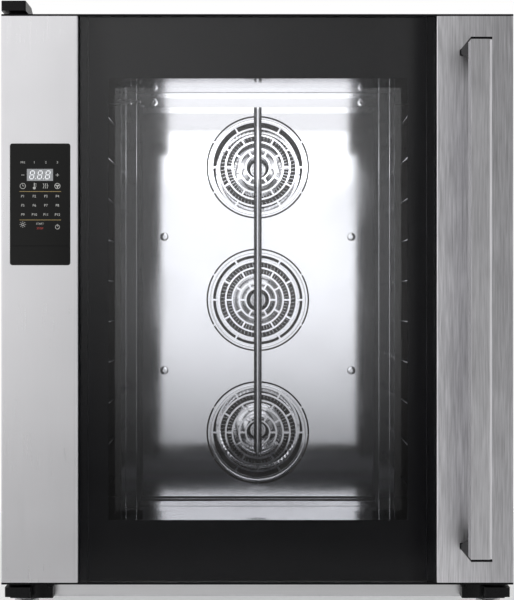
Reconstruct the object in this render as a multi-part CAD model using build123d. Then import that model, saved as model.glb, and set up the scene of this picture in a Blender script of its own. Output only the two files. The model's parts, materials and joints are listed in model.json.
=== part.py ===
from build123d import *
import os
from math import cos, radians, sin

os.makedirs("parts", exist_ok=True)

# An electric convection oven for ten bakery trays, with one full-width door hinged on
# its left. Z is up from the floor, the door faces -Y, and X runs along the door. The
# origin is on the floor at the middle of the whole object. Sizes are in millimetres.

# Casing
SHEET = 1.5
BODY_HALF = 397.0
BODY_BOTTOM = 27.5
FRAME_BOTTOM = 31.0
BODY_TOP = 952.0
BODY_FRONT = -253.5
BODY_BACK = 394.5
REAR_REACH = 416.5
PAN = 2.0
FOLD = 10.0
WOOL = 30.0

# Cavity, measured inside its walls
CAVITY_HALF = 330.0
CAVITY_FLOOR = 103.0
CAVITY_CEILING = 906.5
CAVITY_BACK = 298.0
CAVITY_COVE = 15.0

# Motor bay behind the wool
MOTOR_PLATE_FRONT = 329.5
MOTOR_PLATE = 2.0

# Fans and baffle
FAN_MID = 506.0
FAN_PITCH = 263.0
FAN_HEIGHTS = {"top": FAN_MID + FAN_PITCH, "middle": FAN_MID, "bottom": FAN_MID - FAN_PITCH}
BAFFLE_FACE = 211.5
BAFFLE_FLANGE = 148.5
BAFFLE_HALF = 233.5
BAFFLE_EDGE = 265.0
STEP_FRONT = 174.5
STEP_TOP = 111.5
CROSS_BAR_BOTTOM = 882.0
SLOT_START = 25.2
SLOT_WIDTH = 9.9
SLOT_PITCH = 13.4
SLOT_ROWS = 5
SLOT_BRIDGE = 3.6
HUB_HOLE = 22.4
RING_CUT = (98.7, 101.9)
BOLT_X = 185.5
BOLT_HEIGHTS = (366.0, 631.0)
BAR_BOLT = (202.3, 892.0)
BOLT_FLANGE = 8.2

# Fan wheels
WHEEL_RADIUS = 86.3
WHEEL_FRONT = 246.0
WHEEL_BACK = 288.0
BLADES = 30
BLADE_MIDDLE = 63.9
BLADE_LENGTH = 25.0
BLADE_TURN = 25.0
SHAFT_RADIUS = 6.0
HUB_FRONT = 262.0
HUB_WALL = 8.0
FIT = 0.05
HEATER_RADIUS = 105.0
HEATER_TUBE = 4.0
HEATER_Y = 262.0
HEATER_GAP = 9.0

# Tray racks
LEVELS = 10
LEVEL_PITCH = 75.0
FIRST_LEVEL = 167.0
LEDGE_TIP = 274.0
RAIL_BACK = 312.0
RAIL_FRONT_Y = -236.0
RAIL_BACK_Y = 140.0

# Water pipe
PIPE_RADIUS = 7.7
PIPE_Y = 192.5
PIPE_END = 206.0
PIPE_TURN = 928.0
VALVE_TOP = 200.0

# Door
DOOR_HALF = 400.0
DOOR_FRONT = -319.5
DOOR_BACK = -259.5
DOOR_BOTTOM = 61.5
DOOR_TOP = 952.0
CAP = 3.0
PROFILE_INNER = 280.0
WALL = 2.0
GLASS_HALF = 277.5
GLASS_FRONT = -318.5
GLASS = 6.0
INNER_GLASS_FRONT = -270.5
HINGE_X = -378.0
HINGE_Y = -293.5
PIN_RADIUS = 6.0
BUSH_RADIUS = 11.0
COLLAR_RADIUS = 14.5
HINGE_CORNER = 22.0
PANEL_X = (-386.2, -291.8)
PANEL_Z = (560.0, 750.0)

# Hinge brackets
TOP_ARM = (957.5, 973.1)
TOP_ARM_X = (-400.0, -361.6)
LOW_ARM = (41.5, 56.5)
LOW_ARM_X = (-395.0, -355.5)

# Handle
BAR_X = (317.0, 349.0)
BAR_Y = (-416.5, -392.5)
BAR_Z = (117.0, 896.5)
BAR_CAP = 3.5
HANDLE_X = 333.0
HANDLE_Y = -300.0
ARM_ROOT = 30.0
ARM_TIP = 9.0
HOOK_Z = (499.0, 513.0)
STRIKER_X = 375.0
STRIKER_Y = -282.0

# Feet and services
FOOT_X = 376.0
FOOT_Y = (-229.5, 340.0)
FOOT_RADIUS = 19.5
FOOT_TOP = 21.5
STUD_RADIUS = 8.0
DRAIN_Y = 20.0
DRAIN_Z = 65.0
DRAIN_RADIUS = 16.0
DRAIN_TUBE = 15.0
CHIMNEY = (180.0, 255.0)
CHIMNEY_RADIUS = 25.0
CHIMNEY_TOP = 970.0
WATER_INLET = (-250.0, 150.0)
INLET_RADIUS = 13.2
GLAND = (300.0, 90.0)
GLAND_BORE = 8.0


def box(x0, x1, y0, y1, z0, z1):
    """Box between two opposite corners."""
    middle = Pos((x0 + x1) / 2, (y0 + y1) / 2, (z0 + z1) / 2)
    return middle * Box(x1 - x0, y1 - y0, z1 - z0)


def rod_z(x, y, z0, z1, radius):
    """Upright cylinder."""
    return Pos(x, y, (z0 + z1) / 2) * Cylinder(radius, z1 - z0)


def rod_y(x, z, y0, y1, radius):
    """Cylinder along Y."""
    return Pos(x, (y0 + y1) / 2, z) * Rot(90, 0, 0) * Cylinder(radius, y1 - y0)


def along_y(sketch, y0, y1):
    """Extrude a sketch drawn in X and Z from y0 to y1."""
    return Pos(0, y1, 0) * Rot(90, 0, 0) * extrude(sketch, y1 - y0)


def along_x(sketch, x0, x1):
    """Extrude a sketch drawn in Y and Z from x0 to x1."""
    return Pos(x0, 0, 0) * extrude(Plane.YZ * sketch, x1 - x0)


def along_z(sketch, z0, z1):
    """Extrude a sketch drawn in X and Y from z0 to z1."""
    return Pos(0, 0, z0) * extrude(sketch, z1 - z0)


def rounded(x0, x1, y0, y1, radius):
    """Rectangle with rounded corners, between two opposite corners."""
    return Pos((x0 + x1) / 2, (y0 + y1) / 2) * RectangleRounded(x1 - x0, y1 - y0, radius)


def outline(*points):
    """Face inside a closed run of straight lines."""
    return make_face(Polyline(*points, close=True))


def mirrored(shape):
    """The same piece on the other side of the oven."""
    return mirror(shape, Plane.YZ)


def save(shape, node):
    """Write one sub-part."""
    shape.label = node
    export_step(shape, f"parts/{node}.step")


# Casing


def side_panel():
    """Left side sheet with a fold on all four edges."""
    inner = -BODY_HALF + SHEET
    fold_x = inner + FOLD
    bottom = BODY_BOTTOM + PAN
    top = BODY_TOP - SHEET
    front = BODY_FRONT + SHEET
    back = BODY_BACK - SHEET
    tray = box(-BODY_HALF, fold_x, front, back, bottom, top)
    tray -= box(inner, fold_x, front + SHEET, back - SHEET, bottom + SHEET, top - SHEET)
    return tray + box(-BODY_HALF, inner, front, BODY_BACK, BODY_BOTTOM, BODY_TOP)


def top_panel():
    """Top sheet with its rear fold and the hole for the chimney."""
    inside = BODY_HALF - SHEET
    front = BODY_FRONT + SHEET
    back = BODY_BACK - SHEET
    under = BODY_TOP - SHEET
    panel = box(-inside, inside, front, BODY_BACK, under, BODY_TOP)
    panel += box(-inside + 15, inside - 15, back - SHEET, back, under - 25, under)
    x, y = CHIMNEY
    return panel - rod_z(x, y, under - 1, BODY_TOP + 1, CHIMNEY_RADIUS + 0.5)


def base_pan():
    """Floor pan with folds at front and rear and holes for the feet."""
    inside = BODY_HALF - SHEET
    front = BODY_FRONT + SHEET
    back = BODY_BACK - SHEET
    top = BODY_BOTTOM + PAN
    pan = box(-inside, inside, front, back, BODY_BOTTOM, top)
    for y in (front, back - SHEET):
        pan += box(-inside + 15, inside - 15, y, y + SHEET, top, top + 15)
    for x in (-FOOT_X, FOOT_X):
        for y in FOOT_Y:
            pan -= rod_z(x, y, BODY_BOTTOM - 1, top + 1, STUD_RADIUS + 0.4)
    return pan


def back_panel():
    """Rear sheet with rows of cooling slots and the holes for the services."""
    inside = BODY_HALF - SHEET
    panel = box(-inside, inside, BODY_BACK - SHEET, BODY_BACK, BODY_BOTTOM + PAN, BODY_TOP - SHEET)
    holes = Pos(0, DRAIN_Z) * Circle(DRAIN_RADIUS + 1)
    holes += Pos(*WATER_INLET) * Circle(INLET_RADIUS + 0.4)
    holes += Pos(*GLAND) * Circle(12.5)
    for column in (-220, 220):
        for row in range(8):
            for bank in (560, 760):
                slot = SlotOverall(110, 5)
                holes += Pos(column, bank + 14 * row) * slot
    return panel - along_y(holes, BODY_BACK - SHEET - 1, BODY_BACK + 1)


def cavity_outline(grow=0.0):
    """Outline of the cavity seen from the front, grown outwards by a wall."""
    return rounded(
        -CAVITY_HALF - grow, CAVITY_HALF + grow,
        CAVITY_FLOOR - grow, CAVITY_CEILING + grow, CAVITY_COVE + grow,
    )


def front_frame():
    """Face sheet round the mouth of the cavity, down to the strip under the door."""
    face = rounded(-BODY_HALF, BODY_HALF, FRAME_BOTTOM, BODY_TOP, 2)
    return along_y(face - cavity_outline(), BODY_FRONT, BODY_FRONT + SHEET)


def cavity_liner():
    """Welded chamber with coved edges, a front flange and its service holes."""
    front = BODY_FRONT + SHEET
    back = CAVITY_BACK + SHEET
    chamber = along_y(cavity_outline(SHEET), front, back)
    chamber += along_y(cavity_outline(FOLD), front, front + SHEET)
    chamber -= along_y(cavity_outline(), front - 1, CAVITY_BACK)
    for z in FAN_HEIGHTS.values():
        chamber -= rod_y(0, z, CAVITY_BACK - 1, back + 1, 10)
        for x, leg_z in heater_legs(z):
            chamber -= rod_y(x, leg_z, CAVITY_BACK - 1, back + 1, HEATER_TUBE + 0.3)
    chamber -= rod_z(0, DRAIN_Y, CAVITY_FLOOR - SHEET - 1, CAVITY_FLOOR + 1, DRAIN_TUBE + FIT)
    roof = (CAVITY_CEILING - 1, CAVITY_CEILING + SHEET + 1)
    chamber -= rod_z(*CHIMNEY, *roof, CHIMNEY_RADIUS + FIT)
    return chamber - rod_z(0, PIPE_Y, *roof, PIPE_RADIUS + 0.3)


def insulation_slabs():
    """Five slabs of wool, cut out where pipes and shafts pass."""
    front = BODY_FRONT + 3.5
    back = MOTOR_PLATE_FRONT
    side = CAVITY_HALF + SHEET
    floor = CAVITY_FLOOR - SHEET
    roof = CAVITY_CEILING + SHEET
    left = box(-side - WOOL, -side, front, back, floor - WOOL, roof + WOOL)
    bottom = box(-side, side, front, back, floor - WOOL, floor)
    bottom -= box(-18, 18, DRAIN_Y - 18, back, floor - WOOL, DRAIN_Z + 18)
    bottom -= box(-18, 18, DRAIN_Y - 18, DRAIN_Y + 30, floor - WOOL, floor)
    top = box(-side, side, front, back, roof, roof + WOOL)
    top -= box(-10, 10, PIPE_Y - 11, back, roof, roof + WOOL)
    top -= rod_z(*CHIMNEY, roof - 1, roof + WOOL + 1, CHIMNEY_RADIUS + 1)
    rear = box(-side, side, CAVITY_BACK + SHEET, back, floor, roof)
    for z in FAN_HEIGHTS.values():
        rear -= rod_y(0, z, CAVITY_BACK, back + 1, 16)
        for x, leg_z in heater_legs(z):
            rear -= rod_y(x, leg_z, CAVITY_BACK, back + 1, HEATER_TUBE + 2)
    return Compound(children=[left, mirrored(left), bottom, top, rear])


def motor_plate():
    """Bulkhead that closes the wool and carries the three motors."""
    side = BODY_HALF - SHEET - FOLD - 0.5
    face = rounded(-side, side, BODY_BOTTOM + PAN, BODY_TOP - SHEET, 4)
    holes = Pos(0, DRAIN_Z) * Circle(DRAIN_RADIUS + 2)
    holes += Pos(0, PIPE_TURN) * Circle(PIPE_RADIUS + 2)
    for z in FAN_HEIGHTS.values():
        holes += Pos(0, z) * Circle(16)
        for x, leg_z in heater_legs(z):
            holes += Pos(x, leg_z) * Circle(HEATER_TUBE + 2)
    return along_y(face - holes, MOTOR_PLATE_FRONT, MOTOR_PLATE_FRONT + MOTOR_PLATE)


# Fans, heaters and baffle


def fan_motor(z):
    """Flange, ribbed body and rear bearing cap, bored for the shaft."""
    start = MOTOR_PLATE_FRONT + MOTOR_PLATE
    flange = along_y(Pos(0, z) * RectangleRounded(126, 126, 12), start, start + 4)
    body = rod_y(0, z, start + 4, start + 48, 56)
    for rib in range(4):
        groove_y = start + 10 + 9 * rib
        groove = rod_y(0, z, groove_y, groove_y + 4, 57) - rod_y(0, z, groove_y, groove_y + 4, 52)
        body -= groove
    cap = rod_y(0, z, start + 48, start + 56, 26)
    return flange + body + cap - rod_y(0, z, start - 1, start + 50, SHAFT_RADIUS + FIT)


def heater_legs(z):
    """Places where a heater's two legs go back through the wall."""
    x = HEATER_RADIUS * cos(radians(HEATER_GAP))
    rise = HEATER_RADIUS * sin(radians(HEATER_GAP))
    return [(x, z + rise), (x, z - rise)]


def ring_heater(z):
    """Tubular element bent nearly all the way round a fan wheel."""
    shaft_line = Axis((0, HEATER_Y, z), (0, 1, 0))
    start = Pos(0, HEATER_Y, z) * Rot(0, HEATER_GAP, 0) * Pos(HEATER_RADIUS, 0)
    heater = revolve(start * Circle(HEATER_TUBE), shaft_line, 360 - 2 * HEATER_GAP)
    for x, leg_z in heater_legs(z):
        heater += Pos(x, HEATER_Y, leg_z) * Sphere(HEATER_TUBE + 0.8)
        heater += rod_y(x, leg_z, HEATER_Y, MOTOR_PLATE_FRONT + 12, HEATER_TUBE)
    return heater


def impeller(z):
    """Fan wheel: back plate, hub closed at the front and straight blades turned aslant."""
    plate = rod_y(0, z, WHEEL_BACK - 2, WHEEL_BACK, WHEEL_RADIUS)
    hub = rod_y(0, z, HUB_FRONT, WHEEL_BACK + 4, 16)
    blade = Pos(BLADE_MIDDLE, 0) * Rot(0, 0, BLADE_TURN) * Rectangle(BLADE_LENGTH, 1.5)
    blades = [Pos(0, z) * Rot(0, 0, 360 / BLADES * n) * blade for n in range(BLADES)]
    wheel = plate + hub + along_y(Sketch() + blades, WHEEL_FRONT, WHEEL_BACK - 1)
    return wheel - rod_y(0, z, HUB_FRONT + HUB_WALL, WHEEL_BACK + 5, SHAFT_RADIUS + 0.02)


def fan_shaft(z):
    """Motor shaft and, in front of the hub, the domed nut that holds the wheel on it."""
    shaft = rod_y(0, z, HUB_FRONT + HUB_WALL, 380, SHAFT_RADIUS)
    nut = along_y(Pos(0, z) * RegularPolygon(13, 6), HUB_FRONT - 11, HUB_FRONT)
    nut += rod_y(0, z, HUB_FRONT - 20, HUB_FRONT - 11, 9)
    return Compound(children=[shaft, nut])


def grille_cuts():
    """Rows of curved slots, the centre hole and the thin outer ring, about 0, 0."""
    def bars(first, width):
        spokes = [Rot(0, 0, first + 60 * n) * Rectangle(240, width) for n in range(3)]
        return Sketch() + spokes

    cuts = Circle(HUB_HOLE)
    for row in range(SLOT_ROWS):
        inner = SLOT_START + SLOT_PITCH * row
        first = 0 if row % 2 == 0 else 30
        cuts += Circle(inner + SLOT_WIDTH) - Circle(inner) - bars(first, SLOT_BRIDGE)
    inner, outer = RING_CUT
    return cuts + (Circle(outer) - Circle(inner) - bars(30, SLOT_BRIDGE))


def baffle_plan():
    """Plan of the bent baffle sheet: raised edges each side of a sunken middle."""
    centre = rounded(-BAFFLE_HALF, BAFFLE_HALF, BAFFLE_FACE, BAFFLE_FACE + SHEET, 0.5)
    edge = outline(
        (BAFFLE_HALF, BAFFLE_FLANGE), (BAFFLE_EDGE, BAFFLE_FLANGE),
        (BAFFLE_EDGE, BAFFLE_FACE + SHEET), (BAFFLE_EDGE - SHEET, BAFFLE_FACE + SHEET),
        (BAFFLE_EDGE - SHEET, BAFFLE_FLANGE + SHEET), (BAFFLE_HALF + SHEET, BAFFLE_FLANGE + SHEET),
        (BAFFLE_HALF + SHEET, BAFFLE_FACE + SHEET), (BAFFLE_HALF - 1, BAFFLE_FACE + SHEET),
        (BAFFLE_HALF - 1, BAFFLE_FACE), (BAFFLE_HALF, BAFFLE_FACE),
    )
    front = edge.vertices().group_by(Axis.Y)[0]
    edge = fillet(front, 1.4)
    return centre + edge + mirror(edge, Plane.YZ)


def fan_baffle():
    """Pressed panel in front of the fans, with three grilles and a low front step."""
    panel = along_z(baffle_plan(), CAVITY_FLOOR + 0.5, CAVITY_CEILING - 0.5)
    low = CAVITY_FLOOR + 0.5
    inside = BAFFLE_HALF - 0.5
    panel += box(-inside, inside, STEP_FRONT, BAFFLE_FACE, STEP_TOP - SHEET, STEP_TOP)
    panel += box(-inside, inside, STEP_FRONT, STEP_FRONT + SHEET, low, STEP_TOP)
    cuts = grille_cuts()
    for z in FAN_HEIGHTS.values():
        panel -= along_y(Pos(0, z) * cuts, BAFFLE_FACE - 1, BAFFLE_FACE + SHEET + 1)
    for x in (-BOLT_X, BOLT_X):
        for z in BOLT_HEIGHTS:
            panel -= rod_y(x, z, BAFFLE_FACE - 1, BAFFLE_FACE + SHEET + 1, 4.1)
    return panel


def baffle_cross_bar():
    """Channel across the top of the baffle with a lip under the ceiling, holed for the pipe."""
    half = BAFFLE_HALF - 1
    top = CAVITY_CEILING - 0.5
    bar = box(-half, half, STEP_FRONT, STEP_FRONT + SHEET, CROSS_BAR_BOTTOM, top)
    bar += box(-half, half, BAFFLE_FLANGE, STEP_FRONT + SHEET, top - SHEET, top)
    bar += box(-half, half, STEP_FRONT, BAFFLE_FACE, CROSS_BAR_BOTTOM, CROSS_BAR_BOTTOM + SHEET)
    bar -= rod_z(0, PIPE_Y, CROSS_BAR_BOTTOM - 1, CROSS_BAR_BOTTOM + 3, PIPE_RADIUS + 0.4)
    for x in (-BAR_BOLT[0], BAR_BOLT[0]):
        bar -= rod_y(x, BAR_BOLT[1], STEP_FRONT - 1, STEP_FRONT + 3, 4.1)
    return bar


def flange_bolt(x, z, face, end):
    """Hexagon flange screw with the pillar behind the sheet that it screws into."""
    head = rod_y(x, z, face - 1.5, face, BOLT_FLANGE)
    head += along_y(Pos(x, z) * RegularPolygon(6.5, 6), face - 6, face - 1.5)
    return head + rod_y(x, z, face, face + SHEET, 4) + rod_y(x, z, face + SHEET, end, 7)


def baffle_bolts():
    """Four screws through the panel and two through the cross bar."""
    bolts = []
    for x in (-BOLT_X, BOLT_X):
        for z in BOLT_HEIGHTS:
            bolts.append(flange_bolt(x, z, BAFFLE_FACE, CAVITY_BACK))
    for x in (-BAR_BOLT[0], BAR_BOLT[0]):
        bolts.append(flange_bolt(x, BAR_BOLT[1], STEP_FRONT, BAFFLE_FACE))
    return Compound(children=bolts)


def tray_rack():
    """Left rack: two channel uprights and ten rails, each a ledge folded down at the back."""
    uprights = []
    outer = -RAIL_BACK - 12
    for y in (-200.0, 90.0):
        post = box(outer, -RAIL_BACK, y - 10, y + 10, CAVITY_FLOOR + 12, 890)
        post -= box(outer, -RAIL_BACK - SHEET, y - 8, y + 8, CAVITY_FLOOR + 11, 891)
        for z in (146.0, 856.0):
            post += box(-CAVITY_HALF, -RAIL_BACK - SHEET, y - 6, y + 6, z - 6, z + 6)
        uprights.append(post)
    rails = []
    for level in range(LEVELS):
        top = FIRST_LEVEL + LEVEL_PITCH * level
        section = outline(
            (-RAIL_BACK, top - 12), (-RAIL_BACK + SHEET, top - 12), (-RAIL_BACK + SHEET, top - SHEET),
            (-LEDGE_TIP, top - SHEET), (-LEDGE_TIP, top), (-RAIL_BACK, top),
        )
        rails.append(along_y(section, RAIL_FRONT_Y, RAIL_BACK_Y))
    return Compound(children=uprights + rails)


# Water, drain, exhaust and electrics


def steam_pipe():
    """Water pipe: down the front of the baffle, over the roof and down to the valve."""
    bay_y = 360.0
    inlet_x = WATER_INLET[0]
    path = FilletPolyline(
        (0, PIPE_Y, PIPE_END), (0, PIPE_Y, PIPE_TURN), (0, bay_y, PIPE_TURN),
        (inlet_x, bay_y, PIPE_TURN), (inlet_x, bay_y, VALVE_TOP), radius=18,
    )
    pipe = sweep(Pos(0, PIPE_Y, PIPE_END) * Circle(PIPE_RADIUS), path=path)
    pipe -= rod_z(0, PIPE_Y, PIPE_END - 1, PIPE_END + 40, PIPE_RADIUS - 1.2)
    ring = Circle(PIPE_RADIUS + 1) - Circle(PIPE_RADIUS - 0.4)
    return pipe - along_z(Pos(0, PIPE_Y) * ring, PIPE_END + 19, PIPE_END + 20)


def water_valve():
    """Solenoid valve with its coil and the threaded inlet that passes the back panel."""
    x, z = WATER_INLET
    valve = box(x - 22, x + 22, 345, 388, z - 18, VALVE_TOP)
    valve += box(x + 22, x + 52, 350, 384, z - 12, z + 30)
    valve += rod_y(x, z, 388, REAR_REACH, INLET_RADIUS)
    lock_nut = along_y(Pos(x, z) * RegularPolygon(19, 6), BODY_BACK, BODY_BACK + 5)
    return valve + lock_nut


def drain_pipe():
    """Elbow from the cavity floor out through the back, where it ends in a hose spigot."""
    path = FilletPolyline(
        (0, DRAIN_Y, CAVITY_FLOOR), (0, DRAIN_Y, DRAIN_Z), (0, REAR_REACH, DRAIN_Z), radius=28
    )
    start = Pos(0, DRAIN_Y, CAVITY_FLOOR)
    pipe = sweep(start * Circle(DRAIN_TUBE), path=path)
    pipe += rod_y(0, DRAIN_Z, BODY_BACK, REAR_REACH, DRAIN_RADIUS)
    return pipe - sweep(start * Circle(DRAIN_TUBE - WALL), path=path)


def exhaust_chimney():
    """Steam outlet from the cavity roof, with a flange on the top panel."""
    x, y = CHIMNEY
    tube = rod_z(x, y, CAVITY_CEILING, CHIMNEY_TOP, CHIMNEY_RADIUS)
    tube += rod_z(x, y, BODY_TOP, BODY_TOP + SHEET, CHIMNEY_RADIUS + 14)
    return tube - rod_z(x, y, CAVITY_CEILING - 1, CHIMNEY_TOP + 1, CHIMNEY_RADIUS - SHEET)


def cable_gland():
    """Gland for the mains cable: nut inside, hexagon and domed cap outside."""
    x, z = GLAND
    inside = BODY_BACK - SHEET
    gland = along_y(Pos(x, z) * RegularPolygon(17, 6), inside - 5, inside)
    gland += rod_y(x, z, inside, BODY_BACK, 12.4)
    gland += along_y(Pos(x, z) * RegularPolygon(17, 6), BODY_BACK, BODY_BACK + 7)
    cap_end = REAR_REACH - 1
    middle = (BODY_BACK + 7 + cap_end) / 2
    gland += Pos(x, middle, z) * Rot(-90, 0, 0) * Cone(14, 11, cap_end - BODY_BACK - 7)
    return gland - rod_y(x, z, inside - 6, REAR_REACH, GLAND_BORE)


def relay_board():
    """Mounting plate with contactors and a terminal row in the motor bay."""
    start = MOTOR_PLATE_FRONT + MOTOR_PLATE
    board = box(130, 330, start, start + 3, 400, 700)
    for x in (145, 205, 265):
        board += box(x, x + 45, start + 3, start + 48, 600, 680)
    board += box(145, 310, start + 3, start + 30, 430, 460)
    return board + box(150, 300, start + 3, start + 22, 490, 570)


# Door


def profile_section(rear_radius):
    """Plan of the latch-side profile: a hollow box with a ledge behind the glass."""
    shell = Pos((PROFILE_INNER + DOOR_HALF) / 2, (DOOR_FRONT + DOOR_BACK) / 2) * Rectangle(
        DOOR_HALF - PROFILE_INNER, DOOR_BACK - DOOR_FRONT)
    outer_side = shell.vertices().group_by(Axis.X)[-1].sort_by(Axis.Y)
    shell = fillet(outer_side[-1], rear_radius)
    shell = fillet(shell.vertices().group_by(Axis.Y)[0], 2)
    hollow = offset(shell, -WALL)
    ledge_y = GLASS_FRONT + GLASS
    ledge = rounded(PROFILE_INNER - 15, PROFILE_INNER + 1, ledge_y, ledge_y + WALL, 0.5)
    return shell - hollow + ledge


def control_side_profile():
    """Hinge-side profile with the opening for the touch panel."""
    bar = mirrored(along_z(profile_section(HINGE_CORNER), DOOR_BOTTOM + CAP, DOOR_TOP - CAP))
    window = rounded(*PANEL_X, *PANEL_Z, 4)
    return bar - along_y(window, DOOR_FRONT - 1, DOOR_FRONT + WALL + 1)


def handle_side_profile():
    """Latch-side profile with slots for the handle's arms and the striker."""
    bar = along_z(profile_section(6), DOOR_BOTTOM + CAP, DOOR_TOP - CAP)
    front = (DOOR_FRONT - 1, DOOR_FRONT + WALL + 1)
    for z in (BAR_Z[0], BAR_Z[1] - ARM_TIP):
        bar -= box(BAR_X[0] - 1, BAR_X[1] + 9, *front, z - 0.4, z + ARM_TIP + 0.4)
    rear = (DOOR_BACK - WALL - 1, DOOR_BACK + 1)
    return bar - box(STRIKER_X - 13, STRIKER_X + 13, *rear, HOOK_Z[0] - 9, HOOK_Z[1] + 9)


def door_plan():
    """Plan of the whole door, rounded where the hinge corner clears the casing."""
    plan = Pos(0, (DOOR_FRONT + DOOR_BACK) / 2) * Rectangle(2 * DOOR_HALF, DOOR_BACK - DOOR_FRONT)
    rear = plan.vertices().group_by(Axis.Y)[-1].sort_by(Axis.X)
    plan = fillet(rear[0], HINGE_CORNER)
    plan = fillet(plan.vertices().group_by(Axis.Y)[-1].sort_by(Axis.X)[-1], 6)
    return fillet(plan.vertices().group_by(Axis.Y)[0], 2)


def door_bottom_cap():
    """Moulded end cap with a socket for the hinge bush, a shaft bearing and vents."""
    inside = DOOR_BOTTOM + CAP
    cap = along_z(door_plan(), DOOR_BOTTOM, inside)
    cap += rod_z(HINGE_X, HINGE_Y, inside, inside + 20, BUSH_RADIUS + 4)
    cap -= rod_z(HINGE_X, HINGE_Y, DOOR_BOTTOM - 1, inside + 21, BUSH_RADIUS + 0.02)
    cap += rod_z(HANDLE_X, HANDLE_Y, inside, inside + 12, 10)
    cap -= rod_z(HANDLE_X, HANDLE_Y, inside, inside + 13, SHAFT_RADIUS + FIT)
    for n in range(-4, 5):
        vent = Pos(56 * n, (DOOR_FRONT + DOOR_BACK) / 2) * SlotOverall(40, 8)
        cap -= along_z(vent, DOOR_BOTTOM - 1, inside + 1)
    return cap


def door_top_cap():
    """The same moulding turned over for the top."""
    middle = (DOOR_BOTTOM + DOOR_TOP) / 2
    return mirror(door_bottom_cap(), Plane.XY.offset(middle))


def outer_glass():
    """Outer pane between the two profiles."""
    pane = rounded(-GLASS_HALF, GLASS_HALF, DOOR_BOTTOM + CAP + 0.3, DOOR_TOP - CAP - 0.3, 2)
    pane = along_y(pane, GLASS_FRONT, GLASS_FRONT + GLASS)
    return chamfer(pane.faces().sort_by(Axis.Y)[0].edges(), 0.6)


def inner_glass():
    """Inner pane against the door's inner frame."""
    return along_y(rounded(-256, 256, 124, 886, 8), INNER_GLASS_FRONT, INNER_GLASS_FRONT + 5)


def door_inner_frame():
    """Sheet frame that faces the gasket, folded forward at both edges."""
    low = DOOR_BOTTOM + CAP + 0.2
    high = DOOR_TOP - CAP - 0.2
    half = PROFILE_INNER - 0.2
    outer = rounded(-half, half, low, high, 4)
    window = rounded(-250, 250, 130, 880, 10)
    window_edge = rounded(-250 - SHEET, 250 + SHEET, 130 - SHEET, 880 + SHEET, 11.5)
    frame = along_y(outer - window, DOOR_BACK - SHEET, DOOR_BACK)
    rim = outer - rounded(-half + SHEET, half - SHEET, low + SHEET, high - SHEET, 3)
    frame += along_y(rim, DOOR_BACK - 26, DOOR_BACK - SHEET)
    return frame + along_y(window_edge - window, INNER_GLASS_FRONT + 5, DOOR_BACK - SHEET)


def inner_glass_clips():
    """Four clips that hold the inner pane to the frame."""
    clips = []
    for x in (-253, 253):
        for z in (220, 790):
            clip = box(x - 8, x + 8, INNER_GLASS_FRONT - 3, INNER_GLASS_FRONT, z - 14, z + 14)
            outside = x + (8 if x > 0 else -8)
            reach = sorted((outside, outside - (3 if x > 0 else -3)))
            clip += box(*reach, INNER_GLASS_FRONT, DOOR_BACK - SHEET, z - 14, z + 14)
            clips.append(clip)
    return Compound(children=clips)


def touch_panel():
    """Black glass plate of the controls."""
    (x0, x1), (z0, z1) = PANEL_X, PANEL_Z
    gap = 0.15
    plate = rounded(x0 + gap, x1 - gap, z0 + gap, z1 - gap, 4 - gap)
    return along_y(plate, DOOR_FRONT - 0.3, DOOR_FRONT + 3)


def control_board():
    """Circuit board and display behind the touch panel."""
    (x0, x1), (z0, z1) = PANEL_X, PANEL_Z
    glass_back = DOOR_FRONT + 3
    board = box(x0 + 3, x1 - 3, glass_back + 9, glass_back + 11, z0 + 5, z1 - 5)
    board += box(x0 + 24, x1 - 24, glass_back, glass_back + 9, z1 - 64, z1 - 36)
    for x in (x0 + 8, x1 - 8):
        for z in (z0 + 10, z1 - 10):
            board += rod_y(x, z, glass_back, glass_back + 9, 3)
    return board


def door_lamps():
    """A lamp strip behind the print at each side of the window."""
    lamp_y = GLASS_FRONT + GLASS + WALL
    lamp = box(PROFILE_INNER - 14, PROFILE_INNER - 2, lamp_y, lamp_y + 9, 150, 865)
    return Compound(children=[lamp, mirrored(lamp)])


def hinge_bushes():
    """Flanged bushes in the door, one at each pin."""
    bushes = []
    for low in (True, False):
        collar = (LOW_ARM[1] + 0.3, DOOR_BOTTOM) if low else (DOOR_TOP, TOP_ARM[0] - 0.3)
        barrel = (DOOR_BOTTOM, DOOR_BOTTOM + 22) if low else (DOOR_TOP - 22, DOOR_TOP)
        bush = rod_z(HINGE_X, HINGE_Y, *collar, COLLAR_RADIUS)
        bush += rod_z(HINGE_X, HINGE_Y, *barrel, BUSH_RADIUS)
        bush -= rod_z(HINGE_X, HINGE_Y, collar[0] - 30, collar[1] + 30, PIN_RADIUS + FIT)
        bushes.append(bush)
    return Compound(children=bushes)


# Hinge brackets and gasket


def top_hinge_bracket():
    """Cranked arm over the door, screwed to the top panel, with its pin."""
    side = outline(
        (DOOR_FRONT, TOP_ARM[0]), (DOOR_FRONT, TOP_ARM[1]), (-270, TOP_ARM[1]), (-256, 966),
        (-190, 966), (-190, BODY_TOP), (BODY_FRONT + SHEET, BODY_TOP), (-261, TOP_ARM[0]),
    )
    arm = along_x(side, *TOP_ARM_X)
    arm = fillet(arm.edges().filter_by(Axis.Z).group_by(Axis.Y)[0], 3)
    for x in (-392, -370):
        for y in (-235, -205):
            arm -= rod_z(x, y, BODY_TOP - 1, 970, 3.3)
    return arm + rod_z(HINGE_X, HINGE_Y, DOOR_TOP - 24, TOP_ARM[0], PIN_RADIUS)


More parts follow.
